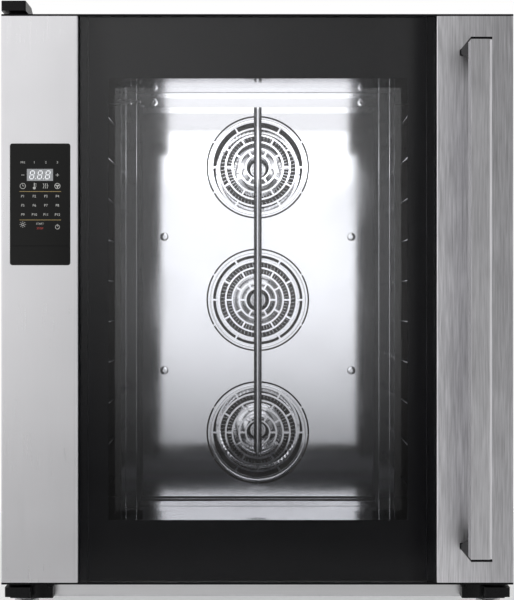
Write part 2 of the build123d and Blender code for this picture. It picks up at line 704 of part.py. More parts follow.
def low_bracket():
    """Casting on the front frame under the door's hinge corner, without its pin."""
    x0, x1 = LOW_ARM_X
    foot_x = -326.5
    foot_front = -275.5
    arm = rounded(x0, x1, DOOR_FRONT + 2, BODY_FRONT, 3)
    bend = 22.0
    web = Pos(x1 - 1, foot_front - bend) * Rectangle(bend + 1, bend + 1, align=Align.MIN)
    web -= Pos(x1 + bend, foot_front - bend) * Circle(bend)
    foot = rounded(x0, foot_x, foot_front, BODY_FRONT, 2)
    casting = along_z(arm, *LOW_ARM) + along_z(web, 32, LOW_ARM[1] - 3)
    return casting + along_z(foot, 30, 47.5)


def bottom_hinge_bracket():
    """Lower hinge casting with its pin."""
    return low_bracket() + rod_z(HINGE_X, HINGE_Y, LOW_ARM[1], DOOR_BOTTOM + 24, PIN_RADIUS)


def door_rest_bracket():
    """The same casting on the latch side, with a pad that the closed door rests on."""
    pad = rod_z(-HINGE_X, HINGE_Y, LOW_ARM[1], DOOR_BOTTOM - 0.4, COLLAR_RADIUS)
    return mirrored(low_bracket()) + pad


def bracket_screws():
    """Four socket screws of the top hinge bracket."""
    screws = []
    for x in (-392, -370):
        for y in (-235, -205):
            screw = rod_z(x, y, 966, 969.5, 5) + rod_z(x, y, BODY_TOP, 966, 3.3)
            screw -= along_z(Pos(x, y) * RegularPolygon(2.6, 6), 967, 970)
            screws.append(screw)
    return Compound(children=screws)


def door_gasket():
    """Silicone lip round the mouth of the cavity."""
    outer = rounded(-348, 348, 85, 924.5, 22)
    inner = rounded(-336, 336, 97, 912.5, 12)
    lip = along_y(outer - inner, DOOR_BACK + 0.4, BODY_FRONT)
    return fillet(lip.faces().sort_by(Axis.Y)[0].edges(), 2)


def latch_striker():
    """Plate on the front frame with two ears and the pin that the hook goes behind."""
    back = BODY_FRONT
    plate = box(STRIKER_X - 15, STRIKER_X + 12, back - 2.5, back, HOOK_Z[0] - 19, HOOK_Z[1] + 19)
    low, high = HOOK_Z[0] - 5, HOOK_Z[1] + 5
    for z in (low, high - 3):
        plate += box(STRIKER_X - 9, STRIKER_X + 9, STRIKER_Y - 6, back - 2.5, z, z + 3)
    return plate + rod_z(STRIKER_X, STRIKER_Y, low, high, 4)


# Handle


def handle_bar():
    """Hollow extrusion with one broad chamfer on its outer front edge."""
    section = Pos(HANDLE_X, sum(BAR_Y) / 2) * Rectangle(BAR_X[1] - BAR_X[0], BAR_Y[1] - BAR_Y[0])
    front = section.vertices().group_by(Axis.Y)[0].sort_by(Axis.X)
    section = chamfer(front[-1], 4)
    section -= Pos(HANDLE_X, sum(BAR_Y) / 2) * RectangleRounded(24, 16, 3)
    return along_z(section, BAR_Z[0] + BAR_CAP, BAR_Z[1] - BAR_CAP)


def lower_handle_arm():
    """Bar cap and arm in one moulding, tapering to the boss on the latch shaft."""
    low = BAR_Z[0]
    side = outline(
        (BAR_Y[0], low), (BAR_Y[0], low + BAR_CAP), (BAR_Y[1], low + BAR_CAP),
        (BAR_Y[1], low + ARM_ROOT), (DOOR_FRONT - 8, low + ARM_TIP), (HANDLE_Y, low + ARM_TIP),
        (HANDLE_Y, low),
    )
    arm = along_x(side, *BAR_X) + rod_z(HANDLE_X, HANDLE_Y, low, low + ARM_TIP, 16)
    return arm - rod_z(HANDLE_X, HANDLE_Y, low - 1, low + ARM_TIP + 1, SHAFT_RADIUS + 0.02)


def upper_handle_arm():
    """The lower arm turned over."""
    return mirror(lower_handle_arm(), Plane.XY.offset(sum(BAR_Z) / 2))


def latch_shaft():
    """Upright shaft that both arms turn."""
    return rod_z(HANDLE_X, HANDLE_Y, DOOR_BOTTOM + CAP + 1, DOOR_TOP - CAP - 1, SHAFT_RADIUS)


def latch_hook():
    """Hook on the shaft, its nose cut back so that it clears the striker pin."""
    tip = STRIKER_X - 5.2
    nose = STRIKER_Y + 6
    hook = Pos(HANDLE_X, HANDLE_Y) * Circle(12)
    hook += outline(
        (HANDLE_X - 4, HANDLE_Y + 11), (tip - 14, nose + 5), (tip, nose + 5), (tip, nose),
        (tip - 8, nose - 1), (tip - 14, nose - 8), (HANDLE_X + 9, HANDLE_Y - 7),
    )
    hook -= Pos(HANDLE_X, HANDLE_Y) * Circle(SHAFT_RADIUS + 0.02)
    return along_z(hook, *HOOK_Z)


# Feet


def levelling_foot(x, y):
    """Steel foot with a neck and the stud that screws into the pan."""
    foot = rod_z(x, y, 0, FOOT_TOP, FOOT_RADIUS)
    foot = chamfer(foot.edges().group_by(Axis.Z)[0], 1.5)
    foot += rod_z(x, y, FOOT_TOP, BODY_BOTTOM - 0.3, 11)
    return foot + rod_z(x, y, BODY_BOTTOM - 0.3, 62, STUD_RADIUS)


# Write every piece

left_panel = side_panel()
left_rack = tray_rack()
save(left_panel, "left_side_panel")
save(mirrored(left_panel), "right_side_panel")
save(top_panel(), "top_panel")
save(base_pan(), "base_pan")
save(back_panel(), "back_panel")
save(front_frame(), "front_frame")
save(cavity_liner(), "cavity_liner")
save(insulation_slabs(), "insulation_slabs")
save(motor_plate(), "motor_plate")
for place, height in FAN_HEIGHTS.items():
    save(fan_motor(height), f"fan_motor_{place}")
    save(ring_heater(height), f"ring_heater_{place}")
    save(impeller(height), f"impeller_{place}")
    save(fan_shaft(height), f"fan_shaft_{place}")
save(fan_baffle(), "fan_baffle")
save(baffle_cross_bar(), "baffle_cross_bar")
save(baffle_bolts(), "baffle_bolts")
save(left_rack, "left_tray_rack")
save(mirrored(left_rack), "right_tray_rack")
save(steam_pipe(), "steam_pipe")
save(water_valve(), "water_valve")
save(drain_pipe(), "drain_pipe")
save(exhaust_chimney(), "exhaust_chimney")
save(cable_gland(), "cable_gland")
save(relay_board(), "relay_board")
save(door_gasket(), "door_gasket")
save(latch_striker(), "latch_striker")
save(top_hinge_bracket(), "top_hinge_bracket")
save(bottom_hinge_bracket(), "bottom_hinge_bracket")
save(door_rest_bracket(), "door_rest_bracket")
save(bracket_screws(), "bracket_screws")
save(control_side_profile(), "control_side_profile")
save(handle_side_profile(), "handle_side_profile")
save(door_bottom_cap(), "door_bottom_cap")
save(door_top_cap(), "door_top_cap")
save(outer_glass(), "outer_glass")
save(inner_glass(), "inner_glass")
save(door_inner_frame(), "door_inner_frame")
save(inner_glass_clips(), "inner_glass_clips")
save(touch_panel(), "touch_panel")
save(control_board(), "control_board")
save(door_lamps(), "door_lamps")
save(hinge_bushes(), "hinge_bushes")
save(handle_bar(), "handle_bar")
save(upper_handle_arm(), "upper_handle_arm")
save(lower_handle_arm(), "lower_handle_arm")
save(latch_shaft(), "latch_shaft")
save(latch_hook(), "latch_hook")
for end, y in zip(("front", "rear"), FOOT_Y):
    save(levelling_foot(-FOOT_X, y), f"{end}_left_foot")
    save(levelling_foot(FOOT_X, y), f"{end}_right_foot")
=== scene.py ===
"""Looks of the ten-tray convection oven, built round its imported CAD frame."""
import json
import math

import bpy
from bpy.props import FloatProperty, FloatVectorProperty, IntProperty, PointerProperty
from mathutils import Euler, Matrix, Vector

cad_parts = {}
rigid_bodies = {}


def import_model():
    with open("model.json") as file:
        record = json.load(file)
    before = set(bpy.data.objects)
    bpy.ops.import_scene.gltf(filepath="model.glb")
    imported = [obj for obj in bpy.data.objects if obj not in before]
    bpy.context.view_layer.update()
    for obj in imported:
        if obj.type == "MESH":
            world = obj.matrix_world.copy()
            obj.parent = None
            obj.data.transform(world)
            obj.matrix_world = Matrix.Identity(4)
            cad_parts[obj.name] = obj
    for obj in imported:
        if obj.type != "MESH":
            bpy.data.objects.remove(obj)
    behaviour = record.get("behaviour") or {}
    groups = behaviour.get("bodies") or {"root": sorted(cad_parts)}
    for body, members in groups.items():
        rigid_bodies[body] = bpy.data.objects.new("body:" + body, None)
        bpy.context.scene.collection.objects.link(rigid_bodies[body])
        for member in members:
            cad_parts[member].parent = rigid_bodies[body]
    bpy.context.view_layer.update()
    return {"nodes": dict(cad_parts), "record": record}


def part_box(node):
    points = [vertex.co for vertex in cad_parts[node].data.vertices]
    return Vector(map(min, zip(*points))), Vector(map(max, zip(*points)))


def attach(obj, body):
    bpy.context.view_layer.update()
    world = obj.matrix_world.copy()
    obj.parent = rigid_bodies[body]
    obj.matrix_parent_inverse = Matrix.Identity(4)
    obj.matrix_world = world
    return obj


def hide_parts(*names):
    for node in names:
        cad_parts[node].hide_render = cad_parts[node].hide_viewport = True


bl_info = {
    "name": "Convection Oven Looks",
    "version": (1, 0, 0),
    "blender": (4, 5, 0),
    "location": "View3D > Sidebar > Oven",
    "description": "Dresses the convection oven's CAD frame with its finishes and small parts",
    "category": "Add Mesh",
}

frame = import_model()
FAN_PLACES = ("top", "middle", "bottom")
DOOR_LOW, DOOR_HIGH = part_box("outer_glass")
PANEL_LOW, PANEL_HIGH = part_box("touch_panel")


def mm(*values):
    """Millimetres as metres."""
    scaled = tuple(value / 1000 for value in values)
    return scaled[0] if len(scaled) == 1 else scaled


def in_mm(pairs):
    """Pairs of radius and height, given in millimetres, as metres."""
    return [mm(*pair) for pair in pairs]


# Sizes and colours


def length(name, description, default, low=0.0):
    """A length property in metres, given in millimetres."""
    return FloatProperty(
        name=name, description=description, default=mm(default), min=mm(low),
        subtype="DISTANCE", unit="LENGTH", precision=4,
    )


def place(name, description, default):
    """A coordinate in metres, given in millimetres, which may be negative."""
    return FloatProperty(
        name=name, description=description, default=mm(default),
        subtype="DISTANCE", unit="LENGTH", precision=4,
    )


def colour(name, description, default):
    """A colour property."""
    return FloatVectorProperty(
        name=name, description=description, default=default, size=3,
        subtype="COLOR", min=0.0, max=1.0,
    )


class OvenStageSettings(bpy.types.PropertyGroup):
    camera_side: place("Camera side", "Camera's place along X", 3.25)
    camera_shift: FloatProperty(
        name="Camera shift", description="Sideways shift of the lens", default=-0.00406)
    camera_front: place("Camera front", "Camera's place along Y", -2269.5)
    camera_height: length("Camera height", "Camera's height over the floor", 505.7)
    lens: FloatProperty(
        name="Lens", description="Focal length for a 36 mm high frame", default=74.97,
        min=1.0, subtype="DISTANCE_CAMERA", unit="CAMERA",
    )
    floor_radius: length("Floor radius", "Radius of the pale floor", 1100)
    lamp_power: FloatProperty(
        name="Lamp power", description="Power of the overhead softbox", default=9.0,
        min=0.0, subtype="POWER", unit="POWER",
    )
    cavity_power: FloatProperty(
        name="Cavity lamp power", description="Power of the lamp in the mouth of the cavity",
        default=0.3, min=0.0, subtype="POWER", unit="POWER",
    )
    lamp_width: length("Cavity lamp width", "Length of the lamp in the mouth", 426)
    lamp_low: length("Cavity lamp bottom", "Lower edge of the lamp in the mouth", 785)
    lamp_high: length("Cavity lamp top", "Upper edge of the lamp in the mouth", 905)
    floor_colour: colour("Floor colour", "Colour of the floor", (0.86, 0.86, 0.86))


class OvenFinishSettings(bpy.types.PropertyGroup):
    aluminium: colour("Door aluminium", "Anodised profiles of the door", (0.76, 0.755, 0.775))
    brushed: colour("Brushed strip", "Brushed profile beside the handle", (0.58, 0.575, 0.595))
    handle: colour("Handle steel", "Brushed handle bar", (0.63, 0.625, 0.645))
    casing: colour("Casing steel", "Outer sheets", (0.55, 0.55, 0.56))
    # The galvanised tone is set high: partly the steel's own colour, partly painted light making up
    # for the shade under the door.
    galvanised: colour("Galvanised steel", "Base pan and bulkhead", (0.72, 0.725, 0.74))
    polished: colour("Polished steel", "Baffle, pipe and wheels", (0.80, 0.80, 0.82))
    cavity: colour("Cavity steel", "Cavity liner and racks", (0.27, 0.27, 0.283))
    sheath: colour("Heater sheath", "Annealed tube of the heaters", (0.22, 0.19, 0.17))
    black: colour("Black moulding", "Caps, arms and gland", (0.009, 0.009, 0.010))
    casting: colour("Black casting", "Hinge castings", (0.009, 0.009, 0.010))
    silicone: colour("Silicone", "Door gasket", (0.035, 0.035, 0.038))
    print_black: colour("Glass print", "Black border of the glass", (0.008, 0.008, 0.009))
    panel: colour("Touch panel", "Black plate of the controls", (0.007, 0.007, 0.0068))
    pale: colour("Pale legend", "Printed signs on the panel", (0.62, 0.62, 0.60))
    gold: colour("Gold line", "Lines that part the panel", (0.42, 0.31, 0.12))
    red: colour("Red legend", "Stop sign on the panel", (0.55, 0.06, 0.05))
    wool: colour("Mineral wool", "Slabs round the cavity", (0.50, 0.42, 0.22))


class OvenDoorSettings(bpy.types.PropertyGroup):
    window_left: place("Window left", "Left edge of the clear window", -233)
    window_right: place("Window right", "Right edge of the clear window", 235)
    window_low: length("Window bottom", "Lower edge of the clear window", 161.4)
    window_high: length("Window top", "Upper edge of the clear window", 852.4)
    print_depth: length("Print depth", "Thickness of the print behind the glass", 0.2)
    handle_edge: length("Handle edge", "Softening of the handle's edges", 0.7)
    bracket_edge: length("Bracket edge", "Softening of the castings' edges", 0.9)


class OvenPanelSettings(bpy.types.PropertyGroup):
    column: length("Column pitch", "Distance between the signs of a row", 18.0)
    first_column: place("First column", "X of the first sign in each row", -366.0)
    letter: length("Letter size", "Size of the lettering", 5.6)
    relief: length("Relief", "Height of the signs over the plate", 0.06)


class OvenFanSettings(bpy.types.PropertyGroup):
    blades: IntProperty(name="Blades", description="Blades of each wheel", default=60, min=6)
    blade_start: length("Blade start", "Radius of a blade's inner edge", 51.8)
    blade_length: length("Blade length", "Width of a blade outwards from its start", 25.6)
    blade_gauge: length("Blade gauge", "Thickness of a blade", 0.7)
    bead_radius: length("Bead radius", "Radius of the pressed bead round a grille", 94.0)


class OvenHardwareSettings(bpy.types.PropertyGroup):
    bolt_flange: length("Bolt head", "Radius of a baffle bolt's head", 8.2)
    screw_head: length("Screw head", "Radius of a panel screw's head", 4.2)
    foot_ribs: IntProperty(
        name="Foot ribs", description="Grip ribs round a foot", default=28, min=8)


# Modelling helpers


def start_fresh():
    """Leaves edit mode with nothing selected, so the next operator meets only the new piece."""
    if bpy.context.object and bpy.context.object.mode != "OBJECT":
        bpy.ops.object.mode_set(mode="OBJECT")
    bpy.ops.object.select_all(action="DESELECT")


def make_active(obj):
    """Selects one object alone."""
    start_fresh()
    obj.select_set(True)
    bpy.context.view_layer.objects.active = obj


def pick(obj, kind, test):
    """Opens a mesh for editing with the parts selected whose middle and direction pass a test."""
    make_active(obj)
    bpy.ops.object.mode_set(mode="EDIT")
    bpy.ops.mesh.select_mode(type=kind)
    bpy.ops.mesh.select_all(action="DESELECT")
    bpy.ops.object.mode_set(mode="OBJECT")
    mesh = obj.data
    if kind == "FACE":
        for face in mesh.polygons:
            face.select = bool(test(face.center, face.normal))
    elif kind == "EDGE":
        for edge in mesh.edges:
            start, end = (mesh.vertices[index].co for index in edge.vertices)
            edge.select = bool(test((start + end) / 2, (end - start).normalized()))
    else:
        for vertex in mesh.vertices:
            vertex.select = bool(test(vertex.co, vertex.normal))
    bpy.ops.object.mode_set(mode="EDIT")


def edit_all(obj):
    """Opens a mesh for editing with all of it selected."""
    make_active(obj)
    bpy.ops.object.mode_set(mode="EDIT")
    bpy.ops.mesh.select_mode(type="VERT")
    bpy.ops.mesh.select_all(action="SELECT")


def close_edit():
    """Points every face outwards and goes back to object mode."""
    bpy.ops.mesh.select_all(action="SELECT")
    bpy.ops.mesh.remove_doubles(threshold=1e-6)
    bpy.ops.mesh.normals_make_consistent(inside=False)
    bpy.ops.object.mode_set(mode="OBJECT")


def block(low, high, soften=0.0, steps=2):
    """A box between two corners with its edges rounded."""
    start_fresh()
    low, high = Vector(low), Vector(high)
    bpy.ops.mesh.primitive_cube_add(size=1, location=(low + high) / 2, scale=high - low)
    obj = bpy.context.object
    bpy.ops.object.transform_apply()
    if soften:
        edit_all(obj)
        bpy.ops.mesh.bevel(offset=soften, segments=steps, affect="EDGES")
        close_edit()
    return obj


def turned(profile, sides=40):
    """A round solid on the Z axis, drawn up ring by ring from (radius, height) pairs."""
    return drawn_round(profile, sides, "NGON")


def ring(profile, sides=64):
    """A closed ring on the Z axis from the (radius, height) pairs of its cross-section."""
    return drawn_round([*profile, profile[0]], sides, "NOTHING")


def drawn_round(profile, sides, fill):
    """Draws a circle at the first (radius, height) pair and extrudes it through the others."""
    start_fresh()
    radius, height = profile[0]
    bpy.ops.mesh.primitive_circle_add(
        vertices=sides, radius=radius, fill_type=fill, location=(0, 0, height))
    obj = bpy.context.object
    bpy.ops.object.transform_apply()
    edit_all(obj)
    for next_radius, next_height in profile[1:]:
        bpy.ops.mesh.extrude_region_move(
            TRANSFORM_OT_translate={"value": (0, 0, next_height - height)})
        grow = next_radius / radius
        bpy.ops.transform.resize(value=(grow, grow, 1), center_override=(0, 0, next_height))
        radius, height = next_radius, next_height
    close_edit()
    return obj


def thread(root, crest, start, pitch, turns):
    """The (radius, height) pairs of a thread's roots and crests, in millimetres."""
    steps = []
    for turn in range(turns):
        height = start + pitch * turn
        steps += [(root, height), (crest, height + pitch / 2)]
    return steps


def prism(sides, radius, low, high, soften=0.0):
    """An upright prism with its end edges broken, such as a nut."""
    start_fresh()
    bpy.ops.mesh.primitive_cylinder_add(
        vertices=sides, radius=radius, depth=high - low, location=(0, 0, (low + high) / 2))
    obj = bpy.context.object
    bpy.ops.object.transform_apply()
    if soften:
        pick(obj, "EDGE", lambda middle, way: abs(way.z) < 0.5)
        bpy.ops.mesh.bevel(offset=soften, segments=2, affect="EDGES")
        close_edit()
    return obj


def spun(obj, count):
    """A piece and its copies spun evenly round the Z axis."""
    edit_all(obj)
    bpy.ops.mesh.spin(
        steps=count - 1, dupli=True, angle=math.tau * (count - 1) / count,
        center=(0, 0, 0), axis=(0, 0, 1))
    close_edit()
    return obj


def cut(obj, cutter):
    """Takes the shape of one piece out of another."""
    make_active(obj)
    taking = obj.modifiers.new("cut", "BOOLEAN")
    taking.object = cutter
    bpy.ops.object.modifier_apply(modifier="cut")
    bpy.data.objects.remove(cutter)
    return obj


def rounded_loop(left, low, right, high, corner):
    """A loop of edges facing the front, with rounded corners."""
    start_fresh()
    bpy.ops.mesh.primitive_plane_add(size=1)
    obj = bpy.context.object
    obj.scale = (right - left, high - low, 1)
    put(obj)
    edit_all(obj)
    bpy.ops.mesh.bevel(offset=corner, segments=8, affect="VERTICES")
    bpy.ops.mesh.select_all(action="SELECT")
    bpy.ops.mesh.delete(type="ONLY_FACE")
    bpy.ops.object.mode_set(mode="OBJECT")
    return facing_front(obj, ((left + right) / 2, 0, (low + high) / 2))


def tube_along(obj, radius, depth):
    """A round bead run along a loop of edges and set at a depth."""
    make_active(obj)
    bpy.ops.object.convert(target="CURVE")
    path = bpy.context.object
    path.data.bevel_depth = radius
    path.data.bevel_resolution = 2
    bpy.ops.object.convert(target="MESH")
    return put(bpy.context.object, (0, depth, 0))


def put(obj, location=(0, 0, 0), turn=(0, 0, 0)):
    """Turns and moves a piece, and keeps its place in its mesh."""
    obj.rotation_euler = Euler([math.radians(angle) for angle in turn])
    obj.location = location
    make_active(obj)
    bpy.ops.object.transform_apply(location=True, rotation=True, scale=True)
    return obj


def facing_front(obj, location):
    """Turns a piece made on the Z axis so that its top faces the front, and moves it."""
    return put(obj, location, (90, 0, 0))


def copy_of(obj, shift=(0, 0, 0)):
    """A copy with its own mesh, moved."""
    make_active(obj)
    bpy.ops.object.duplicate(linked=False)
    twin = bpy.context.object
    return put(twin, shift)


def joined(pieces):
    """Several meshes made one."""
    start_fresh()
    for obj in pieces:
        obj.select_set(True)
    bpy.context.view_layer.objects.active = pieces[0]
    bpy.ops.object.join()
    return bpy.context.object


def repeated(obj, shifts):
    """One mesh holding a copy of a piece at each place."""
    twins = [copy_of(obj, shift) for shift in shifts]
    bpy.data.objects.remove(obj)
    return joined(twins)


def finished(obj, name, body, slot, finish=None, angle=35):
    """Names a piece, gives it its finish and smooth shading, and puts it on its body."""
    obj.name = name
    obj.data.name = name
    obj.data.materials.clear()
    obj.data.materials.append(finish_of(finish or slot))
    make_active(obj)
    bpy.ops.object.shade_smooth_by_angle(angle=math.radians(angle))
    weigh = obj.modifiers.new("normals", "WEIGHTED_NORMAL")
    weigh.keep_sharp = True
    bpy.ops.object.modifier_apply(modifier="normals")
    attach(obj, body)
    return obj


def node_copy(node):
    """A merged copy of a CAD node's mesh, free to be shaped."""
    make_active(frame["nodes"][node])
    bpy.ops.object.duplicate(linked=False)
    obj = bpy.context.object
    for key in [key for key in obj.keys() if key.startswith("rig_")]:
        del obj[key]
    bpy.ops.object.parent_clear(type="CLEAR_KEEP_TRANSFORM")
    bpy.ops.object.transform_apply()
    edit_all(obj)
    bpy.ops.mesh.customdata_custom_splitnormals_clear()
    bpy.ops.mesh.remove_doubles(threshold=2e-6)
    bpy.ops.mesh.dissolve_limited(angle_limit=math.radians(1.0))
    bpy.ops.object.mode_set(mode="OBJECT")
    return obj


def softened(node, width, steps=2, finish=None):
    """A copy of a CAD node with its sharp edges rounded, shown in the node's place."""
    obj = node_copy(node)
    bevel = obj.modifiers.new("edges", "BEVEL")
    bevel.width = width
    bevel.segments = steps
    bevel.limit_method = "ANGLE"
    bevel.angle_limit = math.radians(40)
    bpy.ops.object.modifier_apply(modifier="edges")
    finished(obj, f"{node}_soft", body_of_node(node), slot_of_node(node), finish)
    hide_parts(node)
    return obj


def second_finish(obj, finish, test):
    """Gives the faces whose middle and direction pass a test a finish of their own."""
    obj.data.materials.append(finish_of(finish))
    for face in obj.data.polygons:
        if test(face.center, face.normal):
            face.material_index = len(obj.data.materials) - 1


def body_of_node(node):
    """The CAD body that a node belongs to."""
    bodies = frame["record"]["behaviour"]["bodies"]
    return next(body for body, nodes in bodies.items() if node in nodes)


def slot_of_node(node):
    """The material slot of a CAD node."""
    parts = frame["record"]["subparts"]
    return next(part["material_slot"] for part in parts if part["node"] == node)


# Shader helpers


def add_node(tree, kind, **settings):
    """A shader node with its settings; a key that names an input sets that input."""
    node = tree.nodes.new(f"ShaderNode{kind}")
    for key, value in settings.items():
        if hasattr(node, key):
            setattr(node, key, value)
        else:
            node.inputs[key.replace("_", " ")].default_value = value
    return node


def link(tree, source, target):
    """Joins an output to an input."""
    tree.links.new(source, target)


def feed(tree, socket, value):
    """Sets an input to a number, or joins it to an output."""
    if isinstance(value, (int, float)):
        socket.default_value = value
    else:
        link(tree, value, socket)


def math_node(tree, operation, first, second=None, third=None):
    """A Math node whose operands are sockets or numbers."""
    node = tree.nodes.new("ShaderNodeMath")
    node.operation = operation
    for socket, value in zip(node.inputs, (first, second, third)):
        if value is not None:
            feed(tree, socket, value)
    return node.outputs[0]


def ramp(tree, value, low, high, start, end):
    """A smooth step from start to end as a value goes from low to high."""
    node = tree.nodes.new("ShaderNodeMapRange")
    node.interpolation_type = "SMOOTHSTEP"
    link(tree, value, node.inputs["Value"])
    for name, number in (("From Min", low), ("From Max", high), ("To Min", start), ("To Max", end)):
        feed(tree, node.inputs[name], number)
    return node.outputs["Result"]


def mix_values(tree, factor, first, second):
    """Blends two values, each a socket or a number."""
    node = tree.nodes.new("ShaderNodeMix")
    link(tree, factor, node.inputs["Factor"])
    feed(tree, node.inputs["A"], first)
    feed(tree, node.inputs["B"], second)
    return node.outputs["Result"]


def tinted(tree, factor, dark, light):
    """A colour between two colours."""
    node = tree.nodes.new("ShaderNodeMix")
    node.data_type = "RGBA"
    link(tree, factor, node.inputs[0])
    node.inputs[6].default_value = (*dark, 1)
    node.inputs[7].default_value = (*light, 1)
    return node.outputs[2]


def new_group(name, inputs, outputs):
    """An empty node group with its sockets, and its input and output nodes."""
    group = bpy.data.node_groups.new(name, "ShaderNodeTree")
    for label, kind, default in inputs:
        socket = group.interface.new_socket(label, in_out="INPUT", socket_type=f"NodeSocket{kind}")
        if default is not None:
            socket.default_value = default
    for label, kind in outputs:
        group.interface.new_socket(label, in_out="OUTPUT", socket_type=f"NodeSocket{kind}")
    return group, group.nodes.new("NodeGroupInput"), group.nodes.new("NodeGroupOutput")


def use_group(tree, name, **values):
    """A group node in a material, built on first use, reading Object coordinates."""
    group = bpy.data.node_groups.get(name) or GROUPS[name]()
    node = tree.nodes.new("ShaderNodeGroup")
    node.node_tree = group
    place_node = tree.nodes.new("ShaderNodeTexCoord")
    link(tree, place_node.outputs["Object"], node.inputs["Vector"])
    for key, value in values.items():
        node.inputs[key.replace("_", " ")].default_value = value
    return node


def noise(tree, vector, scale, detail=2.0, roughness=0.5):
    """A noise pattern's value."""
    node = add_node(tree, "TexNoise", Scale=scale, Detail=detail, Roughness=roughness)
    link(tree, vector, node.inputs["Vector"])
    return node.outputs["Fac"]


def build_sheet_metal():
    """Group: rolled or brushed grain, slow waves of the sheet and faint handling marks."""
    group, given, made = new_group(
        "Sheet metal",
        [("Vector", "Vector", None), ("Grain Scale", "Vector", (400.0, 400.0, 10.0)),
         ("Grain Depth", "Float", 0.00002), ("Wave Scale", "Float", 4.0),
         ("Wave Depth", "Float", 0.0)],
        [("Grain", "Float"), ("Marks", "Float"), ("Normal", "Vector")],
    )
    stretched = group.nodes.new("ShaderNodeVectorMath")
    stretched.operation = "MULTIPLY"
    link(group, given.outputs["Vector"], stretched.inputs[0])
    link(group, given.outputs["Grain Scale"], stretched.inputs[1])
    grain = noise(group, stretched.outputs[0], 1.0, detail=3.0, roughness=0.62)
    blots = noise(group, given.outputs["Vector"], 9.0, detail=4.0)
    marks = ramp(group, blots, 0.42, 0.72, 0.0, 1.0)
    waves = group.nodes.new("ShaderNodeTexNoise")
    waves.inputs["Detail"].default_value = 1.0
    link(group, given.outputs["Vector"], waves.inputs["Vector"])
    link(group, given.outputs["Wave Scale"], waves.inputs["Scale"])
    fine = math_node(group, "MULTIPLY", grain, given.outputs["Grain Depth"])
    slow = math_node(group, "MULTIPLY", waves.outputs["Fac"], given.outputs["Wave Depth"])
    bump = add_node(group, "Bump", Distance=1.0)
    link(group, math_node(group, "ADD", fine, slow), bump.inputs["Height"])
    link(group, grain, made.inputs["Grain"])
    link(group, marks, made.inputs["Marks"])
    link(group, bump.outputs["Normal"], made.inputs["Normal"])
    return group


def build_fine_skin():
    """Group: the fine grain of a moulding, casting or painted surface."""
    group, given, made = new_group(
        "Fine skin",
        [("Vector", "Vector", None), ("Scale", "Float", 900.0), ("Depth", "Float", 0.00003)],
        [("Speckle", "Float"), ("Patches", "Float"), ("Normal", "Vector")],
    )
    speckle = group.nodes.new("ShaderNodeTexNoise")
    speckle.inputs["Detail"].default_value = 2.0
    link(group, given.outputs["Vector"], speckle.inputs["Vector"])
    link(group, given.outputs["Scale"], speckle.inputs["Scale"])
    patches = noise(group, given.outputs["Vector"], 14.0, detail=3.0)
    bump = add_node(group, "Bump", Distance=1.0)
    height = math_node(group, "MULTIPLY", speckle.outputs["Fac"], given.outputs["Depth"])
    link(group, height, bump.inputs["Height"])
    link(group, speckle.outputs["Fac"], made.inputs["Speckle"])
    link(group, patches, made.inputs["Patches"])
    link(group, bump.outputs["Normal"], made.inputs["Normal"])
    return group


def build_turned_rings():
    """Group: fine rings turned round the axis of the nearest fan wheel."""
    group, given, made = new_group(
        "Turned rings",
        [("Vector", "Vector", None), ("Ring Pitch", "Float", 0.0011),
         ("Ring Depth", "Float", 0.000004)],
        [("Rings", "Float"), ("Sweep", "Vector"), ("Normal", "Vector")],
    )
    low, high = fan_axis("bottom"), fan_axis("top")
    pitch = (high.z - low.z) / (len(FAN_PLACES) - 1)
    parts = group.nodes.new("ShaderNodeSeparateXYZ")
    link(group, given.outputs["Vector"], parts.inputs[0])
    level = math_node(group, "SUBTRACT", parts.outputs["Z"], low.z)
    level = math_node(group, "WRAP", level, pitch / 2, -pitch / 2)
    across = math_node(group, "MULTIPLY", parts.outputs["X"], parts.outputs["X"])
    up = math_node(group, "MULTIPLY", level, level)
    radius = math_node(group, "SQRT", math_node(group, "ADD", across, up))
    turns = math_node(group, "DIVIDE", radius, given.outputs["Ring Pitch"])
    rings = add_node(group, "TexNoise", Scale=1.0, Detail=2.0)
    rings.noise_dimensions = "1D"
    link(group, turns, rings.inputs["W"])
    bump = add_node(group, "Bump", Distance=1.0)
    height = math_node(group, "MULTIPLY", rings.outputs["Fac"], given.outputs["Ring Depth"])
    link(group, height, bump.inputs["Height"])
    sweep = group.nodes.new("ShaderNodeCombineXYZ")
    link(group, level, sweep.inputs["X"])
    link(group, math_node(group, "MULTIPLY", parts.outputs["X"], -1.0), sweep.inputs["Z"])
    along = group.nodes.new("ShaderNodeVectorMath")
    along.operation = "NORMALIZE"
    link(group, sweep.outputs[0], along.inputs[0])
    link(group, rings.outputs["Fac"], made.inputs["Rings"])
    link(group, along.outputs[0], made.inputs["Sweep"])
    link(group, bump.outputs["Normal"], made.inputs["Normal"])
    return group


GROUPS = {
    "Sheet metal": build_sheet_metal,
    "Fine skin": build_fine_skin,
    "Turned rings": build_turned_rings,
}


def fan_axis(which):
    """Middle of a fan wheel."""
    low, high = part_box(f"impeller_{which}")
    return (low + high) / 2


# Finishes


def new_material(name):
    """A material holding a Principled shader."""
    material = bpy.data.materials.new(name)
    material.use_nodes = True
    tree = material.node_tree
    tree.nodes.clear()
    output = tree.nodes.new("ShaderNodeOutputMaterial")
    shader = tree.nodes.new("ShaderNodeBsdfPrincipled")
    link(tree, shader.outputs[0], output.inputs[0])
    return material, tree, shader, output


def shader_of(material):
    """The Principled shader of a material."""
    return next(node for node in material.node_tree.nodes if node.type == "BSDF_PRINCIPLED")


def object_place(tree):
    """Object coordinates, parted into X, Y and Z."""
    parts = tree.nodes.new("ShaderNodeSeparateXYZ")
    link(tree, tree.nodes.new("ShaderNodeTexCoord").outputs["Object"], parts.inputs[0])
    return parts.outputs


def darker(tone, share):
    """A colour times a share."""
    return tuple(channel * share for channel in tone)


